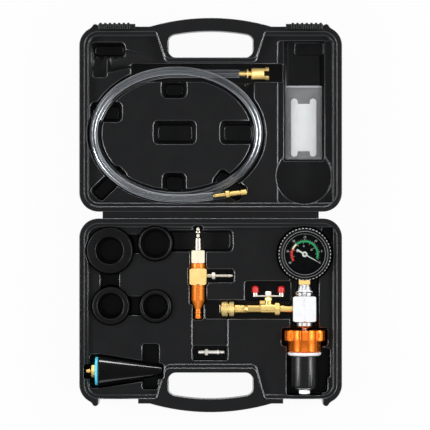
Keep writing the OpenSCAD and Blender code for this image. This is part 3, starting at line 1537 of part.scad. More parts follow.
// Rubber sleeve that stands in its pocket: a tube with a turned-in foot, tapered a little to its top
module neck_sleeve(i) {
    s = necks[i];
    r = s[2] / 2;
    bore = s[3] / 2;
    foot = 3;
    color(black_rubber) translate([s[0], -s[1], rim_z - neck_h]) rotate_extrude() polygon([
        [bore - foot, 0], [r - 1, 0], [r, 1], [r, neck_h - 2], [r - 0.8, neck_h - 0.6], [r - 1.4, neck_h],
        [bore + 0.8, neck_h], [bore, neck_h - 1], [bore, foot], [bore - foot, foot]
    ]);
}
module neck_sleeve_1() { neck_sleeve(0); }
module neck_sleeve_2() { neck_sleeve(1); }
module neck_sleeve_3() { neck_sleeve(2); }
module neck_sleeve_4() { neck_sleeve(3); }

module cone_plug() {
    r = cone_d / 2;
    tip = cone_tip_d / 2;
    color(black_rubber) difference() {
        cone_turned([
            [0, cone_x], [r - 1, cone_x], [r, cone_x + 1], [r - 0.4, cone_x + 4], [tip, cone_end - 0.8],
            [tip - 0.8, cone_end], [0, cone_end]
        ]);
        cone_rod(cone_bore_r, cone_x - over, cone_end + over);
        cone_rod(cone_stem_r + fit, cone_x - over, cone_x + cone_stem_len + fit);
    }
}

module cone_ring() {
    r = ring_d / 2;
    color("#27a3c4") cone_turned([
        [cone_stem_r + fit, ring_x], [r - 0.6, ring_x], [r, ring_x + 0.6], [r, cone_x - 0.6],
        [r - 0.6, cone_x], [cone_stem_r + fit, cone_x]
    ]);
}

module cone_hex() {
    color(brass) difference() {
        union() {
            hex_x(-cone_v, cone_z, cone_flats, cone_hex_x, ring_x);
            cone_rod(cone_stem_r, ring_x - over, cone_x + cone_stem_len);
        }
        cone_rod(2.2 + fit, cone_hex_x - over, cone_hex_x + 4);
        cone_rod(1.6, cone_hex_x, cone_x + cone_stem_len + over);
    }
}

module cone_nipple() {
    x1 = cone_hex_x - cone_neck;
    x0 = x1 - cone_nipple_len;
    r = cone_nipple_d / 2;
    color(brass) difference() {
        cone_turned([
            [0, x0], [r - 0.8, x0], [r, x0 + 0.8], [r, x1 - 0.4], [r - 0.4, x1], [2.2, x1],
            [2.2, cone_hex_x + 3.9], [0, cone_hex_x + 3.9]
        ]);
        cone_rod(1.3, x0 - over, cone_hex_x + 5);
    }
}

case_base();
hinge_strip();
case_lid();
latch_left();
latch_right();
hose();
hose_coupler();
hose_fitting();
parts_bag();
bagged_clip();
manifold_block();
gauge_adapter();
gauge_socket();
gauge_boot();
gauge_can();
gauge_bezel();
gauge_dial();
gauge_lens();
bourdon_tube();
movement_plate();
sector_gear();
pinion_arbor();
gauge_needle();
lower_collar();
centre_tube();
star_knob();
pressure_washer();
rubber_plug();
end_washer();
end_nut();
valve_nipple();
valve_body();
valve_seats();
valve_ball();
valve_stem();
gland_nut();
valve_handle();
handle_caps();
handle_nut();
coupler_body();
coupler_sleeve();
coupler_spring();
coupler_balls();
coupler_ring();
venturi_body();
venturi_nozzle();
venturi_collar();
venturi_inlet_nut();
air_plug();
suction_barb();
spare_nipple();
neck_sleeve_1();
neck_sleeve_2();
neck_sleeve_3();
neck_sleeve_4();
cone_plug();
cone_ring();
cone_hex();
cone_nipple();
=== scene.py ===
import json
import math
import bpy
from mathutils import Euler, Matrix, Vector


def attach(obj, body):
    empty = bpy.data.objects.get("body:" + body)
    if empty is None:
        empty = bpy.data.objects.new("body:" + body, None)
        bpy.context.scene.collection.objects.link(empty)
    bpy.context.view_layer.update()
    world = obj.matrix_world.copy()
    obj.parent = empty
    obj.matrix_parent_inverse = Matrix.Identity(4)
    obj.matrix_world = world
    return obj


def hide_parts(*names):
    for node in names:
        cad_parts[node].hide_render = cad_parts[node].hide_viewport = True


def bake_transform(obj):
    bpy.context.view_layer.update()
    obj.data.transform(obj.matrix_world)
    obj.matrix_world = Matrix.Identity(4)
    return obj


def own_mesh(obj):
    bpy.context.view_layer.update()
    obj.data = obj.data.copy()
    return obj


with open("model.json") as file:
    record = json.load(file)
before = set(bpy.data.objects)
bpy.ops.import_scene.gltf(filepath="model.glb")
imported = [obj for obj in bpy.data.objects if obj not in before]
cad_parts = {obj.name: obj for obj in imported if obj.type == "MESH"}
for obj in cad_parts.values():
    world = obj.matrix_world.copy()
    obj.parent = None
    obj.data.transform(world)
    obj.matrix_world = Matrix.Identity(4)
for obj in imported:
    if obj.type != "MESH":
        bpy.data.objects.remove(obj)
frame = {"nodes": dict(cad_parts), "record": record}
nodes = frame["nodes"]
bodyOf = {name: body for body, names in frame["record"]["behaviour"]["bodies"].items() for name in names}
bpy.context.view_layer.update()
scene = bpy.context.scene
mm = 0.001


def clearSelection():
    if bpy.context.object and bpy.context.object.mode != "OBJECT":
        bpy.ops.object.mode_set(mode="OBJECT")
    bpy.ops.object.select_all(action="DESELECT")


def pick(piece):
    clearSelection()
    piece.select_set(True)
    bpy.context.view_layer.objects.active = piece


def editAll(piece):
    pick(piece)
    bpy.ops.object.mode_set(mode="EDIT")
    bpy.ops.mesh.select_mode(type="FACE")
    bpy.ops.mesh.select_all(action="SELECT")


def editFaces(piece, test):
    # faces are picked by their middle and normal, then edit mode opens on them
    pick(piece)
    bpy.ops.object.mode_set(mode="EDIT")
    bpy.ops.mesh.select_mode(type="FACE")
    bpy.ops.mesh.select_all(action="DESELECT")
    bpy.ops.object.mode_set(mode="OBJECT")
    for face in piece.data.polygons:
        face.select = test(face.center, face.normal)
    bpy.ops.object.mode_set(mode="EDIT")


def backToObject():
    bpy.ops.object.mode_set(mode="OBJECT")


def applyPlace(piece):
    pick(piece)
    bpy.ops.object.transform_apply(location=True, rotation=True, scale=True)


def applyModifier(piece, kind, **settings):
    pick(piece)
    modifier = piece.modifiers.new(kind.title(), kind)
    for key, value in settings.items():
        setattr(modifier, key, value)
    bpy.ops.object.modifier_apply(modifier=modifier.name)


def smoothBy(piece, degrees):
    pick(piece)
    bpy.ops.object.shade_smooth_by_angle(angle=math.radians(degrees))


def paint(piece, material):
    piece.data.materials.clear()
    piece.data.materials.append(material)


# camera square above the open case, at the scale of the photograph
cameraSetup = {
    "metresPerPixel": 0.0010963, "pixels": 430, "middle": (4.77 * mm, 0.05 * mm),
    "height": 2.4, "plane": 0.04, "sensor": 36, "reach": 20,
}


def makeCamera():
    c = cameraSetup
    clearSelection()
    bpy.ops.object.camera_add(location=(*c["middle"], c["height"]), rotation=(0, 0, 0))
    camera = bpy.context.object
    camera.name = "topCamera"
    camera.data.sensor_width = c["sensor"]
    camera.data.lens = c["sensor"] * (c["height"] - c["plane"]) / (c["metresPerPixel"] * c["pixels"])
    camera.data.clip_end = c["reach"]
    scene.camera = camera
    print("camera", round(camera.data.lens, 1), "mm")


makeCamera()

# the hose follows the route of its solid: a lead at the coupler, a turn and a half that climbs, a lead at the fitting
hoseSetup = {
    "diameter": 9 * mm, "bore": 6 * mm, "sides": 20, "smooth": 40,
    "middle": (-37.4 * mm, 89.4 * mm), "a": 88.5 * mm, "b": 67.1 * mm, "grow": 4.2 * mm,
    "start": 90, "sweep": 540, "step": 3, "leadSteps": 18,
    "levels": (16.7 * mm, 26.3 * mm, 35.05 * mm), "climbs": ((270, 130), (510, 120)),   # start and sweep, in degrees
    "leadIn": 77.3 * mm, "bend": 300 * mm, "turn": 36 * mm, "leadOut": 54 * mm,
}


def easing(t):
    t = min(max(t, 0), 1)
    return t * t * (3 - 2 * t)


def hoseRoute():
    h = hoseSetup
    cx, cy = h["middle"]
    low, high, top = h["levels"]
    (firstStart, firstSweep), (lastStart, lastSweep) = h["climbs"]
    points = []
    for i in range(h["leadSteps"]):
        points.append((cx + h["leadIn"] * (1 - i / h["leadSteps"]), cy + h["b"], low))
    for t in range(h["start"], h["start"] + h["sweep"] + 1, h["step"]):
        spread = h["grow"] * (t - h["start"]) / h["sweep"]
        turn = math.radians(t)
        rise = (high - low) * easing((t - firstStart) / firstSweep)
        rise += (top - high) * easing((t - lastStart) / lastSweep)
        points.append((cx + (h["a"] + spread) * math.cos(turn), cy + (h["b"] + spread) * math.sin(turn), low + rise))
    endX, endY, endZ = points[-1]
    for i in range(1, h["leadSteps"] + 1):
        along = h["leadOut"] * i / h["leadSteps"]
        turned = min(along, h["turn"])
        aside = turned * turned / (2 * h["bend"]) + (along - turned) * h["turn"] / h["bend"]
        points.append((endX + along, endY + aside, endZ))
    return points


def makeHose():
    h = hoseSetup
    points = hoseRoute()
    line = bpy.data.curves.new("clearHose", "CURVE")
    line.dimensions = "3D"
    line.bevel_depth = h["diameter"] / 2
    line.bevel_resolution = h["sides"] // 4
    spline = line.splines.new("POLY")
    spline.points.add(len(points) - 1)
    for place, point in zip(spline.points, points):
        place.co = (*point, 1)
    hose = bpy.data.objects.new("clearHose", line)
    scene.collection.objects.link(hose)
    pick(hose)
    bpy.ops.object.convert(target="MESH")
    hose = bpy.context.object
    applyModifier(hose, "SOLIDIFY", thickness=(h["diameter"] - h["bore"]) / 2, offset=-1, use_even_offset=True)
    smoothBy(hose, h["smooth"])
    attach(hose, "lid")
    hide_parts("hose")
    length = sum((Vector(b) - Vector(a)).length for a, b in zip(points, points[1:]))
    print("hose", round(length, 3), "m")
    return hose, points, length


hose, hosePoints, hoseLength = makeHose()


class Shade:
    # wraps a socket so that shader maths reads as plain expressions
    def __init__(self, tree, socket=None):
        self.tree = tree
        self.socket = socket

    def node(self, kind, settings=None, inputs=None, out=0):
        made = self.tree.nodes.new(kind)
        for key, value in (settings or {}).items():
            setattr(made, key, value)
        for key, value in (inputs or {}).items():
            if isinstance(value, Shade):
                self.tree.links.new(value.socket, made.inputs[key])
            else:
                made.inputs[key].default_value = value
        return Shade(self.tree, made.outputs[out])

    def maths(self, operation, *others):
        values = {i: value for i, value in enumerate((self, *others))}
        return self.node("ShaderNodeMath", {"operation": operation}, values)

    def __add__(self, other):
        return self.maths("ADD", other)

    __radd__ = __add__

    def __mul__(self, other):
        return self.maths("MULTIPLY", other)

    __rmul__ = __mul__

    def __sub__(self, other):
        return self.maths("SUBTRACT", other)

    def __rsub__(self, other):
        return self.node("ShaderNodeMath", {"operation": "SUBTRACT"}, {0: other, 1: self})

    def __truediv__(self, other):
        return self.maths("DIVIDE", other)

    def most(self, other):
        return self.maths("MAXIMUM", other)

    def sway(self, share):
        # a noise's swing to both sides of its middle
        return (self - 0.5) * share

    def above(self, edge, soft):
        # 0 below the edge, 1 above it, with a soft step
        return ((self - edge) / soft + 0.5).maths("MINIMUM", 1.0).most(0.0)

    def between(self, low, high, soft):
        return self.above(low, soft) * (1 - self.above(high, soft))

    def blend(self, first, second):
        # colour mix by this value
        return self.node("ShaderNodeMix", {"data_type": "RGBA"}, {0: self, 6: first, 7: second}, out=2)

    def cross(self, first, second):
        # shader mix by this value
        return self.node("ShaderNodeMixShader", None, {0: self, 1: first, 2: second})


def startMaterial(name, **constants):
    material = bpy.data.materials.new(name)
    material.use_nodes = True
    tree = material.node_tree
    tree.nodes.clear()
    output = tree.nodes.new("ShaderNodeOutputMaterial")
    surface = tree.nodes.new("ShaderNodeBsdfPrincipled")
    tree.links.new(surface.outputs[0], output.inputs["Surface"])
    for key, value in constants.items():
        surface.inputs[key].default_value = value
    shade = Shade(tree)
    shade.surface = surface
    shade.output = output
    shade.skin = Shade(tree, surface.outputs[0])
    shade.coords = shade.node("ShaderNodeTexCoord", out=3)
    return material, shade


def feed(shade, **values):
    for key, value in values.items():
        shade.tree.links.new(value.socket, shade.surface.inputs[key.replace("_", " ")])


def wear(shade, mixed):
    # the mixed shader takes the place of the plain surface
    shade.tree.links.new(mixed.socket, shade.output.inputs["Surface"])


def place(shade, axis):
    return shade.node("ShaderNodeSeparateXYZ", None, {0: shade.coords}, out=axis)


def noise(shade, scale, detail=3.0, rough=0.5, vector=None):
    return shade.node("ShaderNodeTexNoise", None,
                      {"Vector": vector or shade.coords, "Scale": scale, "Detail": detail, "Roughness": rough})


def stretched(shade, scale):
    return shade.node("ShaderNodeMapping", None, {"Vector": shade.coords, "Scale": scale})


def bumped(shade, height, strength, distance, normal=None):
    inputs = {"Height": height, "Strength": strength, "Distance": distance}
    if normal:
        inputs["Normal"] = normal
    return shade.node("ShaderNodeBump", None, inputs)


def vectorMaths(shade, operation, inputs, out=0):
    return shade.node("ShaderNodeVectorMath", {"operation": operation}, inputs, out)


# rounded edges: their normal, a mask of how far it turns from the flat one, and the glint of the lamps on it
edgeLook = {"samples": 8, "turn": (0.06, 0.08), "colour": (0.7, 0.72, 0.75, 1), "rough": 0.2}


def roundedEdges(shade, radius):
    rounded = shade.node("ShaderNodeBevel", {"samples": edgeLook["samples"]}, {"Radius": radius})
    flat = shade.node("ShaderNodeNewGeometry", out=1)
    turned = 1 - vectorMaths(shade, "DOT_PRODUCT", {0: rounded, 1: flat}, out=1)
    return rounded, turned.above(*edgeLook["turn"])


def glinted(shade, rounded, edge, share):
    glint = shade.node("ShaderNodeBsdfAnisotropic", None,
                       {"Color": edgeLook["colour"], "Roughness": edgeLook["rough"], "Normal": rounded})
    return (edge * share).cross(shade.skin, glint)


def radiusAbout(shade, middle):
    reach = vectorMaths(shade, "SUBTRACT", {0: shade.coords, 1: (*middle, 0)})
    reach = vectorMaths(shade, "MULTIPLY", {0: reach, 1: (1, 1, 0)})
    return vectorMaths(shade, "LENGTH", {0: reach}, out=1)


def tone(colour, factor=1.0):
    return (*[channel * factor for channel in colour], 1.0)


# moulded case plastic: fine spark texture, rounded edges that catch the light and are painted paler with wear and
# painted highlight, and painted shade in the hollows
casePlastic = {
    "dark": (0.008, 0.0081, 0.0087), "light": (0.016, 0.0162, 0.017), "shine": 0.4,
    "grain": (2600, 2, 0.6), "scuff": (38, 5, 0.62),   # scale, detail and roughness of each noise
    "rough": 0.25, "roughGrain": 0.1, "roughScuff": 0.08,
    "bumpScuff": 0.2, "bump": (0.2, 0.1 * mm),   # strength and distance
    "edgeWearAndHighlightLeast": 0.6, "edgeWearAndHighlightScuff": 0.8, "reach": 45 * mm, "samples": 8,
    "open": (0.6, 0.3), "hidden": 0.35,   # edges out in the open, and the share of their painted highlight and glint that is left in the hollows
    "rim": (133 * mm, 3 * mm), "rimDim": 0.72, "hollowShade": (0.0, 0.7), "hollowShadeTone": 0.4,
}


def makeCasePlastic(name, edgeRadius, edgeWearAndHighlight, glintShare):
    c = casePlastic
    material, m = startMaterial(name, **{"Specular IOR Level": c["shine"]})
    grain = noise(m, *c["grain"])
    cloud = noise(m, *c["scuff"])
    room = m.node("ShaderNodeAmbientOcclusion", {"samples": c["samples"]}, {"Distance": c["reach"]}, out=1)
    rounded, edge = roundedEdges(m, edgeRadius)
    # the edge mask is weaker in the hollows, where less light falls; it paints the edges paler, partly wear and
    # partly painted highlight, and sets the share of their glint
    edge = edge * (c["hidden"] + room.above(*c["open"]) * (1 - c["hidden"]))
    body = cloud.blend(tone(c["dark"]), tone(c["light"]))
    feed(m, Base_Color=(edge * (c["edgeWearAndHighlightLeast"] + cloud * c["edgeWearAndHighlightScuff"])).blend(body, tone((edgeWearAndHighlight,) * 3)),
         Roughness=c["rough"] + grain.sway(c["roughGrain"]) + cloud.sway(c["roughScuff"]),
         Normal=bumped(m, grain + cloud * c["bumpScuff"], *c["bump"], rounded))
    nearRim = place(m, 0).maths("ABSOLUTE").above(*c["rim"])
    lit = glinted(m, rounded, edge * (1 - nearRim * c["rimDim"]), glintShare)
    # painted shade: where ambient occlusion finds little room, a darker diffuse takes the place of the lit surface
    hollowShade = m.node("ShaderNodeBsdfDiffuse", None, {"Color": tone(c["dark"], c["hollowShadeTone"])})
    wear(m, room.above(*c["hollowShade"]).cross(hollowShade, lit))
    return material


gaugeMiddle = (103.2 * mm, -43.0 * mm)

# rubber: a faint bloom and moulding flow over a dark body, and pale rings about the gauge, which are painted
# highlights
rubberLook = {
    "fine": (1500, 3, 0.6), "cloud": (60, 5, 0.65), "specks": (420, 4, 0.6),
    "cloudShare": 0.7, "dust": (0.55, 0.3), "bloomShare": 0.75, "roughDust": 0.1, "roughFine": 0.1,
    "paleRingLeast": 0.5, "ringSoft": 0.3 * mm, "floorSoft": 0.4 * mm, "edge": 1.2 * mm,
    "bumpCloud": 0.4, "bump": (0.12, 0.1 * mm),
}


def makeRubber(name, dark, bloom, rough, shine, glintShare, rings=()):
    r = rubberLook
    material, m = startMaterial(name, **{"Specular IOR Level": shine})
    fine = noise(m, *r["fine"])
    cloud = noise(m, *r["cloud"])
    dust = (cloud * r["cloudShare"] + noise(m, *r["specks"]) * (1 - r["cloudShare"])).above(*r["dust"])
    colour = (dust * r["bloomShare"]).blend(tone(dark), tone(bloom))
    # painted highlight: a thin pale line on the boot lip and on the bezel bore, and pale tooth tops round the boot
    for low, high, floor, pale in rings:
        paleRing = radiusAbout(m, gaugeMiddle).between(low, high, r["ringSoft"])
        paleRing = paleRing * place(m, 2).above(floor, r["floorSoft"])
        colour = (paleRing * (r["paleRingLeast"] + cloud)).blend(colour, tone((pale,) * 3))
    rounded, edge = roundedEdges(m, r["edge"])
    feed(m, Base_Color=colour, Roughness=rough + dust * r["roughDust"] + fine.sway(r["roughFine"]),
         Normal=bumped(m, fine + cloud * r["bumpCloud"], *r["bump"], rounded))
    wear(m, glinted(m, rounded, edge, glintShare))
    return material


# machined metal: tool marks run round the piece, so the noise is squeezed along its axis
metalLook = {
    "squeeze": {"x": (5200, 90, 90), "y": (90, 5200, 90), "z": (90, 90, 5200), "brushedY": (4200, 60, 4200)},
    "lines": (1.0, 3, 0.55), "smudge": (95, 5, 0.6), "specks": (700, 3, 0.6),
    "smudgeShare": 0.6, "stain": (0.56, 0.24), "dullLines": 0.12,
    "roughLines": 0.16, "roughStain": 0.1, "roughSmudge": 0.08, "bump": 0.16, "depth": 0.06 * mm, "coatRough": 0.12,
}


def makeMetal(name, colour, dull, rough, axis, marks=1.0, grime=0.35, coat=0.0, metallic=1.0):
    k = metalLook
    material, m = startMaterial(name, Metallic=metallic, **{"Coat Weight": coat, "Coat Roughness": k["coatRough"]})
    lines = noise(m, *k["lines"], stretched(m, k["squeeze"][axis]))
    smudge = noise(m, *k["smudge"])
    stain = (smudge * k["smudgeShare"] + noise(m, *k["specks"]) * (1 - k["smudgeShare"])).above(*k["stain"])
    uneven = lines.sway(k["roughLines"] * marks) + stain * k["roughStain"] + smudge.sway(k["roughSmudge"])
    feed(m, Base_Color=(stain * grime + lines * k["dullLines"]).blend(tone(colour), tone(dull)),
         Roughness=rough + uneven, Normal=bumped(m, lines, k["bump"] * marks, k["depth"]))
    return material


# solid plastics and vinyl, with flow lines and fine sink, and a dark hub where a radius is given
plasticLook = {
    "flow": (80, 4, 0.6), "fine": (3, 0.55), "shadowShare": 0.8, "hubSoft": 0.2 * mm, "hubTone": 0.1,
    "roughFine": 0.12, "roughFlow": 0.08, "bumpFlow": 0.5, "bump": (0.1, 0.1 * mm), "coatRough": 0.15,
}


def makePlastic(name, colour, shadow, rough, grain=900, coat=0.0, hub=None):
    p = plasticLook
    material, m = startMaterial(name, **{"Coat Weight": coat, "Coat Roughness": p["coatRough"]})
    flow = noise(m, *p["flow"])
    fine = noise(m, grain, *p["fine"])
    body = (flow * p["shadowShare"]).blend(tone(colour), tone(shadow))
    if hub:
        body = radiusAbout(m, gaugeMiddle).above(hub, p["hubSoft"]).blend(tone(shadow, p["hubTone"]), body)
    feed(m, Base_Color=body, Roughness=rough + fine.sway(p["roughFine"]) + flow.sway(p["roughFlow"]),
         Normal=bumped(m, fine + flow * p["bumpFlow"], *p["bump"]))
    return material


# clear tube: the bore mirrors the lamps, the wall beside it is see-through, and the outline is pale
tubeLook = {
    "clear": (0.97, 0.98, 0.98, 1), "haze": 0.03, "cloud": (60, 2, 0.5), "shade": 0.92, "roughCloud": 0.04,
    "facing": 0.5, "boreFacing": (0.15, 0.1), "rimFacing": (0.36, 0.16),
    "fittingBarb": (2.6 * mm, 30 * mm),   # from this x, above this z
    "couplerBarb": (31.9 * mm, 140 * mm, 22 * mm),   # from this x and y, below this z
    "thinned": 0.8,
}


def makeTube(name, colour, bore, outline, rough):
    t = tubeLook
    material, m = startMaterial(name)
    cloud = noise(m, *t["cloud"])
    facing = m.node("ShaderNodeLayerWeight", None, {"Blend": t["facing"]}, out=1)
    rim = facing.above(*t["rimFacing"])
    front = 1 - m.node("ShaderNodeNewGeometry", out=6)
    feed(m, Base_Color=cloud.blend(tone(colour), tone(colour, t["shade"])),
         Roughness=rough + cloud.sway(t["roughCloud"]), Metallic=1 - rim)
    cover = front * (t["haze"] + (1 - facing.above(*t["boreFacing"])) * bore + rim * outline)
    # the tube is stretched thin over the barbs of the fitting and the coupler
    x, y, z = (place(m, axis) for axis in (0, 1, 2))
    fittingX, fittingZ = t["fittingBarb"]
    couplerX, couplerY, couplerZ = t["couplerBarb"]
    overFitting = x.above(fittingX, mm) * z.above(fittingZ, mm)
    overCoupler = x.above(couplerX, mm) * y.above(couplerY, mm) * (1 - z.above(couplerZ, mm))
    cover = cover * (1 - overFitting.most(overCoupler) * t["thinned"])
    wear(m, cover.cross(m.node("ShaderNodeBsdfTransparent", None, {"Color": t["clear"]}), m.skin))
    return material


# thin clear film and lens: see-through in the middle, brighter towards its edges and along its folds
clearLook = {
    "clear": (0.97, 0.98, 0.97, 1), "least": 0.02, "most": 0.95, "weld": 0.3, "weldSoft": 0.5 * mm,
    "facing": 0.4, "haze": (4, 0.6), "folds": (3, 0.6), "foldScale": 0.35, "shade": 0.82,
    "bumpHaze": 0.4, "depth": 1 * mm,
}


def makeClear(name, colour, body, edge, rough, wrinkle, scale, seams=None):
    c = clearLook
    material, m = startMaterial(name, Roughness=rough)
    facing = m.node("ShaderNodeLayerWeight", None, {"Blend": c["facing"]}, out=1)
    haze = noise(m, scale, *c["haze"])
    folds = noise(m, scale * c["foldScale"], *c["folds"])
    feed(m, Base_Color=haze.blend(tone(colour), tone(colour, c["shade"])),
         Normal=bumped(m, haze * c["bumpHaze"] + folds, wrinkle, c["depth"]))
    cover = body + facing * edge + folds.sway(body)
    if seams:
        # welded sides and the folded mouth of the bag
        middle, half, mouth = seams
        sides = (place(m, 0) - middle).maths("ABSOLUTE").above(half, c["weldSoft"])
        cover = cover + sides.most(place(m, 1).above(mouth, c["weldSoft"])) * c["weld"]
    cover = cover.maths("MINIMUM", c["most"]).most(c["least"])
    wear(m, cover.cross(m.node("ShaderNodeBsdfTransparent", None, {"Color": c["clear"]}), m.skin))
    return material


# printed dial: scale marks and coloured bands, drawn by radius and angle about the arbor
dialPrint = {
    "middle": gaugeMiddle, "start": -30, "sweep": 240, "band": (13.2 * mm, 15.2 * mm), "shine": 0.02,
    "face": (0.0014, 0.0014, 0.0017), "white": (0.55, 0.55, 0.55),
    # colour, and where its arc starts and ends in degrees along the scale
    "arcs": (((0.03, 0.4, 0.14), 10, 160), ((0.95, 0.9, 0.62), 160, 188), ((0.95, 0.05, 0.04), 188, 240)),
    # degrees from mark to mark, inner and outer radius, half width
    "ticks": ((8, 15.6 * mm, 16.3 * mm, 0.14 * mm), (40, 15.5 * mm, 16.9 * mm, 0.26 * mm),
              (31.58, 11.4 * mm, 12.8 * mm, 0.22 * mm)),
    # how softly the print ends: the scale and its arcs in degrees, the rest in metres
    "scaleSoft": 0.4, "arcSoft": 0.5, "bandSoft": 0.15 * mm, "sideSoft": 0.08 * mm, "tipSoft": 0.1 * mm,
    "grain": (2500, 2), "rough": 0.45, "roughGrain": 0.15, "bump": (0.06, 0.05 * mm),
}


def makeDialPrint():
    d = dialPrint
    material, m = startMaterial("dialPrint", **{"Specular IOR Level": d["shine"]})
    x, y = (place(m, axis) - d["middle"][axis] for axis in (0, 1))
    radius = radiusAbout(m, d["middle"])
    degrees = y.maths("ARCTAN2", x) * (180 / math.pi)
    onScale = (degrees - d["start"] + 360).maths("MODULO", 360.0)   # 0 at the start of the scale, 240 at its end
    onArc = onScale.between(0, d["sweep"], d["scaleSoft"])
    inBand = radius.between(*d["band"], d["bandSoft"])
    colour = tone(d["face"])
    for step, low, high, wide in d["ticks"]:
        aside = ((onScale + step / 2).maths("MODULO", step) - step / 2).maths("ABSOLUTE")
        near = aside * radius * (math.pi / 180)
        mark = (1 - near.above(wide, d["sideSoft"])) * radius.between(low, high, d["tipSoft"]) * onArc
        colour = mark.blend(colour, tone(d["white"]))
    for band, low, high in d["arcs"]:
        colour = (onScale.between(low, high, d["arcSoft"]) * inBand).blend(colour, tone(band))
    grain = noise(m, *d["grain"])
    feed(m, Base_Color=colour, Roughness=d["rough"] + grain.sway(d["roughGrain"]),
         Normal=bumped(m, grain, *d["bump"]))
    return material


brassColour, brassDull = (0.86, 0.62, 0.22), (0.55, 0.33, 0.09)
nickelColour, nickelDull = (0.76, 0.7, 0.6), (0.36, 0.31, 0.25)
silverColour, silverDull = (0.86, 0.86, 0.87), (0.68, 0.68, 0.69)
orangeColour, orangeDull = (0.86, 0.19, 0.008), (0.66, 0.1, 0.005)
# inner and outer radius of a ring of painted highlight, the height it starts at, and its tone
bootHighlightRings = ((24.9 * mm, 25.5 * mm, 30 * mm, 0.3), (27.9 * mm, 40 * mm, 39.4 * mm, 0.7))
bezelHighlightRings = ((21.8 * mm, 22.6 * mm, 30 * mm, 0.4),)
bagSeams = (103.2 * mm, 19.3 * mm, 141.6 * mm)   # middle, half width and mouth
finishes = {
    "case": makeCasePlastic("mouldedBlack", edgeRadius=1.6 * mm, edgeWearAndHighlight=0.05, glintShare=0.36),
    "latch": makeCasePlastic("latchBlack", edgeRadius=0.8 * mm, edgeWearAndHighlight=0.05, glintShare=0.14),
    "hinge": makeCasePlastic("hingeBlack", edgeRadius=0.15 * mm, edgeWearAndHighlight=0.01, glintShare=0.05),
    "rubber": makeRubber("dullRubber", (0.005, 0.005, 0.0054), (0.009, 0.009, 0.0095),
                         rough=0.4, shine=0.2, glintShare=0.2),
    "bootRubber": makeRubber("bootRubber", (0.0016, 0.0016, 0.0022), (0.0028, 0.0028, 0.0036),
                             rough=0.45, shine=0.04, glintShare=0.08, rings=bootHighlightRings),
    "plugRubber": makeRubber("plugRubber", (0.006, 0.0062, 0.0066), (0.009, 0.0092, 0.0096),
                             rough=0.2, shine=0.75, glintShare=0.08),
    "coneRubber": makeRubber("coneRubber", (0.002, 0.002, 0.0022), (0.0034, 0.0034, 0.0037),
                             rough=0.12, shine=0.3, glintShare=0.1),
    "blackPaint": makeRubber("blackPaint", (0.0026, 0.0026, 0.0034), (0.004, 0.004, 0.005),
                             rough=0.18, shine=0.2, glintShare=0.15, rings=bezelHighlightRings),
    "brassX": makeMetal("brassTurnedX", brassColour, brassDull, 0.18, "x"),
    "brassY": makeMetal("brassTurnedY", brassColour, brassDull, 0.18, "y"),
    "brassHex": makeMetal("brassHexY", (0.87, 0.64, 0.25), brassDull, 0.1, "y", marks=0.5),
    "brassDeep": makeMetal("brassDeepX", (0.92, 0.66, 0.24), brassDull, 0.32, "x", metallic=0.35),
    "brassKnurl": makeMetal("brassKnurled", (0.95, 0.78, 0.36), brassDull, 0.22, "x", metallic=0.75),
    "paleHex": makeMetal("paleHexY", (0.84, 0.77, 0.6), (0.62, 0.52, 0.34), 0.1, "y", marks=0.5),
    "brassZ": makeMetal("brassTurnedZ", brassColour, brassDull, 0.3, "z"),
    "steelX": makeMetal("steelTurnedX", nickelColour, nickelDull, 0.16, "x"),
    "steelY": makeMetal("steelTurnedY", nickelColour, nickelDull, 0.16, "y"),
    "steelSatin": makeMetal("steelSatin", (0.93, 0.9, 0.84), nickelDull, 0.34, "x", metallic=0.25),
    "steelZ": makeMetal("steelTurnedZ", nickelColour, nickelDull, 0.3, "z"),
    "silverY": makeMetal("silverTurnedY", silverColour, silverDull, 0.28, "y", grime=0.2),
    "silverHex": makeMetal("silverBrushed", (0.77, 0.77, 0.78), (0.58, 0.58, 0.59), 0.09, "brushedY",
                           marks=0.5, grime=0.2),
    "orangeY": makeMetal("orangeAnodised", orangeColour, orangeDull, 0.21, "y",
                         grime=0.3, coat=0.25, metallic=0.85),
    "orangeSatin": makeMetal("orangeSatin", (0.95, 0.25, 0.02), orangeDull, 0.27, "y",
                             grime=0.2, coat=0.25, metallic=0.6),
    "red": makePlastic("redVinyl", (0.72, 0.022, 0.018), (0.55, 0.014, 0.012), 0.3, coat=0.3),
    "cyan": makePlastic("blueRing", (0.11, 0.74, 0.95), (0.07, 0.6, 0.85), 0.42),
    "white": makePlastic("whiteNylon", (0.9, 0.9, 0.91), (0.8, 0.8, 0.82), 0.42),
    "paint": makePlastic("needlePaint", (0.85, 0.85, 0.84), (0.75, 0.75, 0.74), 0.4, grain=3000, hub=1.3 * mm),
    "hose": makeTube("clearTube", (0.92, 0.95, 1.0), bore=0.36, outline=0.48, rough=0.13),
    "film": makeClear("clearFilm", (0.9, 0.91, 0.94), body=0.16, edge=0.55, rough=0.25, wrinkle=0.3, scale=130,
                      seams=bagSeams),
    "lens": makeClear("lensClear", (0.05, 0.055, 0.06), body=0.03, edge=0.2, rough=0.04, wrinkle=0.0, scale=60),
    "dial": makeDialPrint(),
}
paint(hose, finishes["hose"])
print("finishes", len(finishes))

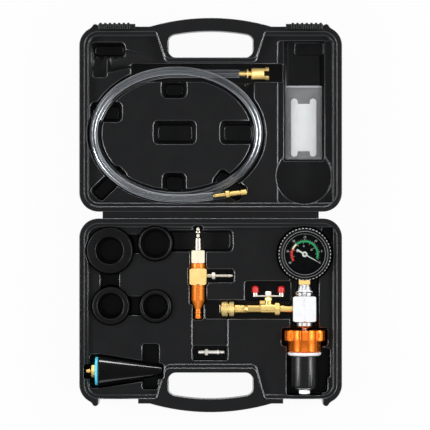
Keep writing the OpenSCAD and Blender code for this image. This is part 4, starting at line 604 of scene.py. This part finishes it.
# each node's finish, and the width in mm of the small bevel on a copy of its mesh
# 0 keeps the node itself, and None only smooths the copy
dressPlan = {
    "case_base": ("case", None), "case_lid": ("case", None),
    "latch_left": ("latch", 0.35), "latch_right": ("latch", 0.35),
    "hose_coupler": ("brassDeep", 0.2), "hose_fitting": ("brassX", 0.15), "bagged_clip": ("white", 0.6),
    "manifold_block": ("silverHex", 0.7), "gauge_adapter": ("silverHex", 0.25), "gauge_socket": ("brassHex", 0.25),
    "gauge_boot": ("bootRubber", 0.3), "gauge_can": ("steelZ", 0), "gauge_bezel": ("blackPaint", 0.2),
    "gauge_dial": ("dial", 0), "gauge_lens": ("lens", 0), "bourdon_tube": ("brassZ", 0),
    "movement_plate": ("brassZ", 0), "sector_gear": ("brassZ", 0), "pinion_arbor": ("brassZ", 0),
    "gauge_needle": ("paint", 0.1), "lower_collar": ("silverHex", 0.25), "centre_tube": ("silverY", 0.2),
    "star_knob": ("orangeY", 0.4), "pressure_washer": ("white", 0.3), "rubber_plug": ("plugRubber", 0.4),
    "end_washer": ("silverY", 0.25), "end_nut": ("silverY", 0.2),
    "valve_nipple": ("brassX", 0.2), "valve_body": ("brassX", 0.25), "valve_seats": ("white", 0),
    "valve_ball": ("steelX", 0), "valve_stem": ("brassY", 0.15), "gland_nut": ("brassY", 0.2),
    "valve_handle": ("steelY", 0.3), "handle_caps": ("red", 0.3), "handle_nut": ("steelY", 0.2),
    "coupler_body": ("brassX", 0.25), "coupler_sleeve": ("brassX", 0.25), "coupler_spring": ("steelX", 0.05),
    "coupler_balls": ("steelX", 0), "coupler_ring": ("steelX", 0),
    "venturi_body": ("orangeSatin", 0.3), "venturi_nozzle": ("brassY", 0), "venturi_collar": ("brassHex", 0.35),
    "venturi_inlet_nut": ("paleHex", 0.3), "air_plug": ("steelY", 0.2), "suction_barb": ("steelX", 0.15),
    "spare_nipple": ("steelSatin", 0.15),
    "neck_sleeve_1": ("rubber", 0.05), "neck_sleeve_2": ("rubber", 0.05),
    "neck_sleeve_3": ("rubber", 0.05), "neck_sleeve_4": ("rubber", 0.05),
    "cone_plug": ("coneRubber", 0.5), "cone_ring": ("cyan", 0.3), "cone_hex": ("brassX", 0.25),
    "cone_nipple": ("brassX", 0.2),
}
dressing = {
    "caseMerge": 0.01 * mm, "caseSmooth": 40, "level": 0.9995,
    "merge": 0.002 * mm, "flat": 0.6, "bevelFrom": 33, "segments": 2, "smooth": 38,   # angles in degrees
}


def camel(name):
    first, *rest = name.split("_")
    return first + "".join(word.title() for word in rest)


def copyNode(name, merge):
    # a merged copy of a node, free of its links, that a dressed piece starts from
    piece = nodes[name].copy()
    piece.data = nodes[name].data.copy()
    piece.name = camel(name)
    scene.collection.objects.link(piece)
    for key in list(piece.keys()):
        del piece[key]
    piece.parent = None
    editAll(piece)
    bpy.ops.mesh.remove_doubles(threshold=merge)
    backToObject()
    return piece


def smoothedCopy(name):
    # curved walls are smoothed, and level faces stay flat
    piece = copyNode(name, dressing["caseMerge"])
    smoothBy(piece, dressing["caseSmooth"])
    editFaces(piece, lambda middle, normal: abs(normal.z) > dressing["level"])
    bpy.ops.mesh.faces_shade_flat()
    backToObject()
    return piece


def bevelledCopy(name, bevel):
    piece = copyNode(name, dressing["merge"])
    editAll(piece)
    bpy.ops.mesh.dissolve_limited(angle_limit=math.radians(dressing["flat"]))
    backToObject()
    applyModifier(piece, "BEVEL", width=bevel * mm, segments=dressing["segments"], limit_method="ANGLE",
                  angle_limit=math.radians(dressing["bevelFrom"]), miter_outer="MITER_ARC")
    smoothBy(piece, dressing["smooth"])
    return piece


def dressNode(name, finish, bevel):
    piece = smoothedCopy(name) if bevel is None else bevelledCopy(name, bevel)
    paint(piece, finishes[finish])
    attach(piece, bodyOf[name])
    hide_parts(name)
    return piece


dressed = {}
for name, (finish, bevel) in dressPlan.items():
    if bevel == 0:
        paint(nodes[name], finishes[finish])
    else:
        dressed[name] = dressNode(name, finish, bevel)
print("dressed", len(dressed), "nodes")

# rubber plug and spring, with their joint, axis, end that stays, share kept; here each only gets a mesh of its own
squashPlan = {
    "rubber_plug": ("plug_squeeze", (0, 1, 0), (103.2 * mm, -190.2 * mm, 30 * mm), 0.87),
    "coupler_spring": ("sleeve_pull", (1, 0, 0), (26.6 * mm, -103.3 * mm, 30 * mm), 0.56),
}
for name, plan in squashPlan.items():
    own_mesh(dressed[name])
print("squashed", len(squashPlan))

# film hinge: a thin flat sheet with fold lines pressed into it
hingeSetup = {
    "length": 237 * mm, "gap": 7.4 * mm, "z": 39.1 * mm, "thickness": 1 * mm,
    "rows": 12, "every": 3, "groove": 0.3 * mm, "inset": 0.1 * mm, "smooth": 40,
}


def makeHinge():
    h = hingeSetup
    clearSelection()
    bpy.ops.mesh.primitive_grid_add(x_subdivisions=1, y_subdivisions=h["rows"], size=1, location=(0, 0, h["z"]))
    strip = bpy.context.object
    strip.name = "hingeFilm"
    strip.scale = (h["length"], h["gap"], 1)
    applyPlace(strip)
    applyModifier(strip, "SOLIDIFY", thickness=h["thickness"], offset=0)

    def rowOf(middle):
        return round((middle.y + h["gap"] / 2) / (h["gap"] / h["rows"]) - 0.5)

    # every third row is pressed in on both sides
    for side in (1, -1):
        editFaces(strip, lambda middle, normal: normal.z * side > 0.5 and rowOf(middle) % h["every"] == 1)
        bpy.ops.mesh.inset(thickness=h["inset"])
        bpy.ops.transform.translate(value=(0, 0, -side * h["groove"]))
        backToObject()
    smoothBy(strip, h["smooth"])
    paint(strip, finishes["hinge"])
    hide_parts("hinge_strip")
    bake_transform(strip)
    print("hinge film")


makeHinge()

# knurled bands of the quick coupler's sleeve
knurlSetup = {
    "x": ((12.3 * mm, 18.5 * mm), (20.6 * mm, 25.5 * mm)), "y": -103.3 * mm, "z": 30 * mm,
    "radius": 7.98 * mm, "around": 52, "tooth": 0.95 * mm, "height": 0.32 * mm,
}


def makeKnurl(index, span):
    k = knurlSetup
    rows = max(2, round((span[1] - span[0]) / k["tooth"]))
    step = (span[1] - span[0]) / rows
    middle = Vector((span[0], k["y"], k["z"]))
    clearSelection()
    bpy.ops.mesh.primitive_circle_add(vertices=k["around"], radius=k["radius"], fill_type="NOTHING",
                                      location=middle, rotation=(0, math.pi / 2, 0))
    band = bpy.context.object
    band.name = "knurlBand" + str(index + 1)
    applyPlace(band)
    pick(band)
    bpy.ops.object.mode_set(mode="EDIT")
    bpy.ops.mesh.select_all(action="SELECT")
    for _ in range(rows):
        # each ring turns by half a tooth
        bpy.ops.mesh.extrude_edges_move(TRANSFORM_OT_translate={"value": (step, 0, 0)})
        bpy.ops.transform.rotate(value=math.pi / k["around"], orient_axis="X", center_override=middle)
    bpy.ops.mesh.select_all(action="SELECT")
    bpy.ops.mesh.normals_make_consistent(inside=False)
    bpy.ops.mesh.poke(offset=k["height"])
    backToObject()
    paint(band, finishes["brassKnurl"])
    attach(band, "pull_sleeve")
    return band


knurls = [makeKnurl(index, span) for index, span in enumerate(knurlSetup["x"])]
print("knurl bands")

# numbers on the dial, from the start of the scale round to its end: radius, size, degrees between them, figures
numberSetup = {
    "z": 39.02 * mm, "thickness": 0.05 * mm, "detail": 3,
    "outer": (18.9 * mm, 3.0 * mm, 40, ("0", "5", "10", "15", "20", "25", "30")),
    "inner": (8.9 * mm, 2.2 * mm, 63.16, ("0", "20", "40", "60")),
}


def makeFigure(figure, size, radius, turn):
    x, y = dialPrint["middle"]
    clearSelection()
    bpy.ops.object.text_add(location=(x + radius * math.cos(turn), y + radius * math.sin(turn), numberSetup["z"]))
    raised = bpy.context.object
    raised.data.body = figure
    raised.data.size = size
    raised.data.align_x = "CENTER"
    raised.data.align_y = "CENTER"
    raised.data.extrude = numberSetup["thickness"]
    raised.data.resolution_u = numberSetup["detail"]
    bpy.ops.object.convert(target="MESH")
    return bpy.context.object


def makeNumbers(name, radius, size, step, figures):
    made = [makeFigure(figure, size, radius, math.radians(dialPrint["start"] + i * step))
            for i, figure in enumerate(figures)]
    clearSelection()
    for piece in made:
        piece.select_set(True)
    bpy.context.view_layer.objects.active = made[0]
    bpy.ops.object.join()
    numbers = bpy.context.object
    numbers.name = name
    applyPlace(numbers)
    paint(numbers, finishes["paint"])
    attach(numbers, "vacuum_head")
    return numbers


numbers = [makeNumbers("dialNumbersOuter", *numberSetup["outer"]),
           makeNumbers("dialNumbersInner", *numberSetup["inner"])]
print("dial numbers")

# clear bag: two walls of thin film, puffed over the clip and crumpled
bagSetup = {
    "x": 103.2 * mm, "y": (61.7 * mm, 143.5 * mm), "width": 41.4 * mm, "floor": 8.25 * mm, "height": 6.2 * mm,
    "cuts": 34, "weld": 0.1 * mm, "smooth": 60,
    "lift": 0.3 * mm, "slack": 1.2 * mm, "topFold": 0.45 * mm, "edgeLift": 0.25 * mm, "floorFold": 0.1 * mm,
    "square": 8, "footRise": 20, "mouthFrom": 0.84, "mouthRise": 7, "mouthFlat": 0.6,
    "waves": ((410, 160, 0, 0.45), (180, -330, 1.3, 0.55), (760, 520, 0.4, 0.22)),   # over x, over y, start, size
}


def crumple(x, y):
    # a few fixed folds, so that the film is the same on each run
    return sum(size * math.sin(x * overX + y * overY + start) for overX, overY, start, size in bagSetup["waves"])


def makeBag():
    b = bagSetup
    low, high = b["y"]
    length = high - low
    clearSelection()
    bpy.ops.mesh.primitive_grid_add(x_subdivisions=b["cuts"], y_subdivisions=2 * b["cuts"], size=1,
                                    location=(b["x"], (low + high) / 2, b["floor"]))
    bag = bpy.context.object
    bag.name = "clearBag"
    bag.scale = (b["width"], length, 1)
    applyPlace(bag)
    editAll(bag)
    bpy.ops.mesh.duplicate_move(TRANSFORM_OT_translate={"value": (0, 0, b["height"])})
    bpy.ops.mesh.flip_normals()
    backToObject()
    for vertex in bag.data.vertices:
        across = (vertex.co.x - b["x"]) / (b["width"] / 2)
        along = (vertex.co.y - low) / length
        atMouth = easing((along - b["mouthFrom"]) * b["mouthRise"])
        puff = (1 - across ** b["square"]) * easing(along * b["footRise"]) * (1 - b["mouthFlat"] * atMouth)
        folds = crumple(vertex.co.x, vertex.co.y)
        if vertex.co.z > b["floor"] + b["height"] / 2:
            rise = b["lift"] + (b["height"] - b["slack"]) * puff + b["topFold"] * folds * puff
        else:
            rise = b["edgeLift"] * (1 - puff) + b["floorFold"] * (1 + folds) * puff
        vertex.co.z = b["floor"] + rise
    editAll(bag)
    bpy.ops.mesh.remove_doubles(threshold=b["weld"])
    backToObject()
    smoothBy(bag, b["smooth"])
    paint(bag, finishes["film"])
    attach(bag, "lid")
    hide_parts("parts_bag")
    print("bag")
    return bag


bag = makeBag()

# pale floor and soft studio light: a bright strip in a wide panel on each side, panels at the head and foot,
# and a dim top
studio = {
    "floor": -0.4 * mm, "size": 8.0, "white": (0.95, 0.95, 0.95), "floorRough": 0.7, "glow": 0.94,
    "world": (0.95, 0.97, 1.0), "worldStrength": 0.22,
    "dark": ("case", "latch", "rubber", "bootRubber", "plugRubber", "coneRubber", "blackPaint", "lens"),
    "gloss": ("coneRubber",),   # polished rubber
    "deep": ("brassDeep", "steelSatin"),   # pieces low in their wells
    "soft": ("silverHex", "brassHex", "paleHex"),   # flat-sided metal that the strips would blow out
    "lamps": (
        # name, angle round from +X, angle from straight up, distance, width, length, radiance, what it lights
        ("leftStrip", 180, 50, 1.6, 0.32, 1.3, 5.6, "soft"), ("rightStrip", 0, 50, 1.6, 0.32, 1.3, 5.6, "soft"),
        ("leftPanel", 180, 54, 1.75, 1.15, 2.6, 1.1, None), ("rightPanel", 0, 54, 1.75, 1.15, 2.6, 1.1, None),
        ("headStrip", 90, 81, 1.7, 0.34, 1.6, 5.0, None), ("headPanel", 90, 48, 1.75, 1.2, 1.6, 1.4, "bright"),
        ("footPanel", 270, 50, 1.75, 1.0, 1.6, 0.7, "bright"), ("topPanel", 0, 0, 3.0, 2.6, 2.6, 1.0, "bright"),
        ("headEdge", 90, 81, 1.75, 0.3, 1.6, 26.0, "gloss"), ("footEdge", 270, 81, 1.75, 0.3, 1.6, 3.0, "gloss"),
        ("wellPanel", 0, 0, 3.1, 2.6, 2.6, 2.6, "deep"),
        ("leftGlow", 180, 50, 1.55, 0.3, 0.75, 8.0, "tube"), ("rightGlow", 0, 50, 1.55, 0.3, 0.5, 6.0, "tube"),
    ),
}


def makeFloor():
    clearSelection()
    bpy.ops.mesh.primitive_plane_add(size=studio["size"], location=(0, 0, studio["floor"]))
    floor = bpy.context.object
    floor.name = "paleFloor"
    applyPlace(floor)
    material, m = startMaterial("paleFloorPaint", Roughness=studio["floorRough"],
                                **{"Base Color": tone(studio["white"])})
    camera, glossy, through = (m.node("ShaderNodeLightPath", out=ray)
                               for ray in ("Is Camera Ray", "Is Glossy Ray", "Is Transmission Ray"))
    glow = m.node("ShaderNodeEmission", None, {"Color": (1, 1, 1, 1), "Strength": 1.0})
    wear(m, (camera.most(glossy).most(through) * studio["glow"]).cross(m.skin, glow))
    paint(floor, material)


def makeWorld():
    world = bpy.data.worlds.new("softWorld")
    scene.world = world
    world.use_nodes = True
    background = world.node_tree.nodes["Background"]
    background.inputs["Color"].default_value = tone(studio["world"])
    background.inputs["Strength"].default_value = studio["worldStrength"]


def lampGroups():
    # pieces that a lamp lights, apart from "soft", which holds those it leaves out
    groups = {name: bpy.data.collections.new(name + "Pieces") for name in ("bright", "soft", "deep", "gloss", "tube")}
    for name, (finish, bevel) in dressPlan.items():
        if finish not in studio["dark"]:
            groups["bright"].objects.link(dressed.get(name, nodes[name]))
        for group in ("soft", "deep", "gloss"):
            if finish in studio[group]:
                groups[group].objects.link(dressed[name])
    for piece in (bag, *numbers, *knurls):
        groups["bright"].objects.link(piece)
    groups["tube"].objects.link(hose)
    for item in groups["soft"].collection_objects:
        item.light_linking.link_state = "EXCLUDE"
    return groups


def makeLamps():
    groups = lampGroups()
    for name, around, lean, distance, width, length, radiance, lights in studio["lamps"]:
        clearSelection()
        turn = Euler((0, math.radians(lean), math.radians(around)))
        bpy.ops.object.light_add(type="AREA", location=turn.to_matrix() @ Vector((0, 0, distance)), rotation=turn)
        lamp = bpy.context.object
        lamp.name = name
        lamp.data.shape = "RECTANGLE"
        lamp.data.size = width
        lamp.data.size_y = length
        lamp.data.energy = radiance * math.pi * width * length
        if lights:
            lamp.light_linking.receiver_collection = groups[lights]


makeFloor()
makeWorld()
makeLamps()
scene.view_settings.view_transform = "Standard"
print("studio")
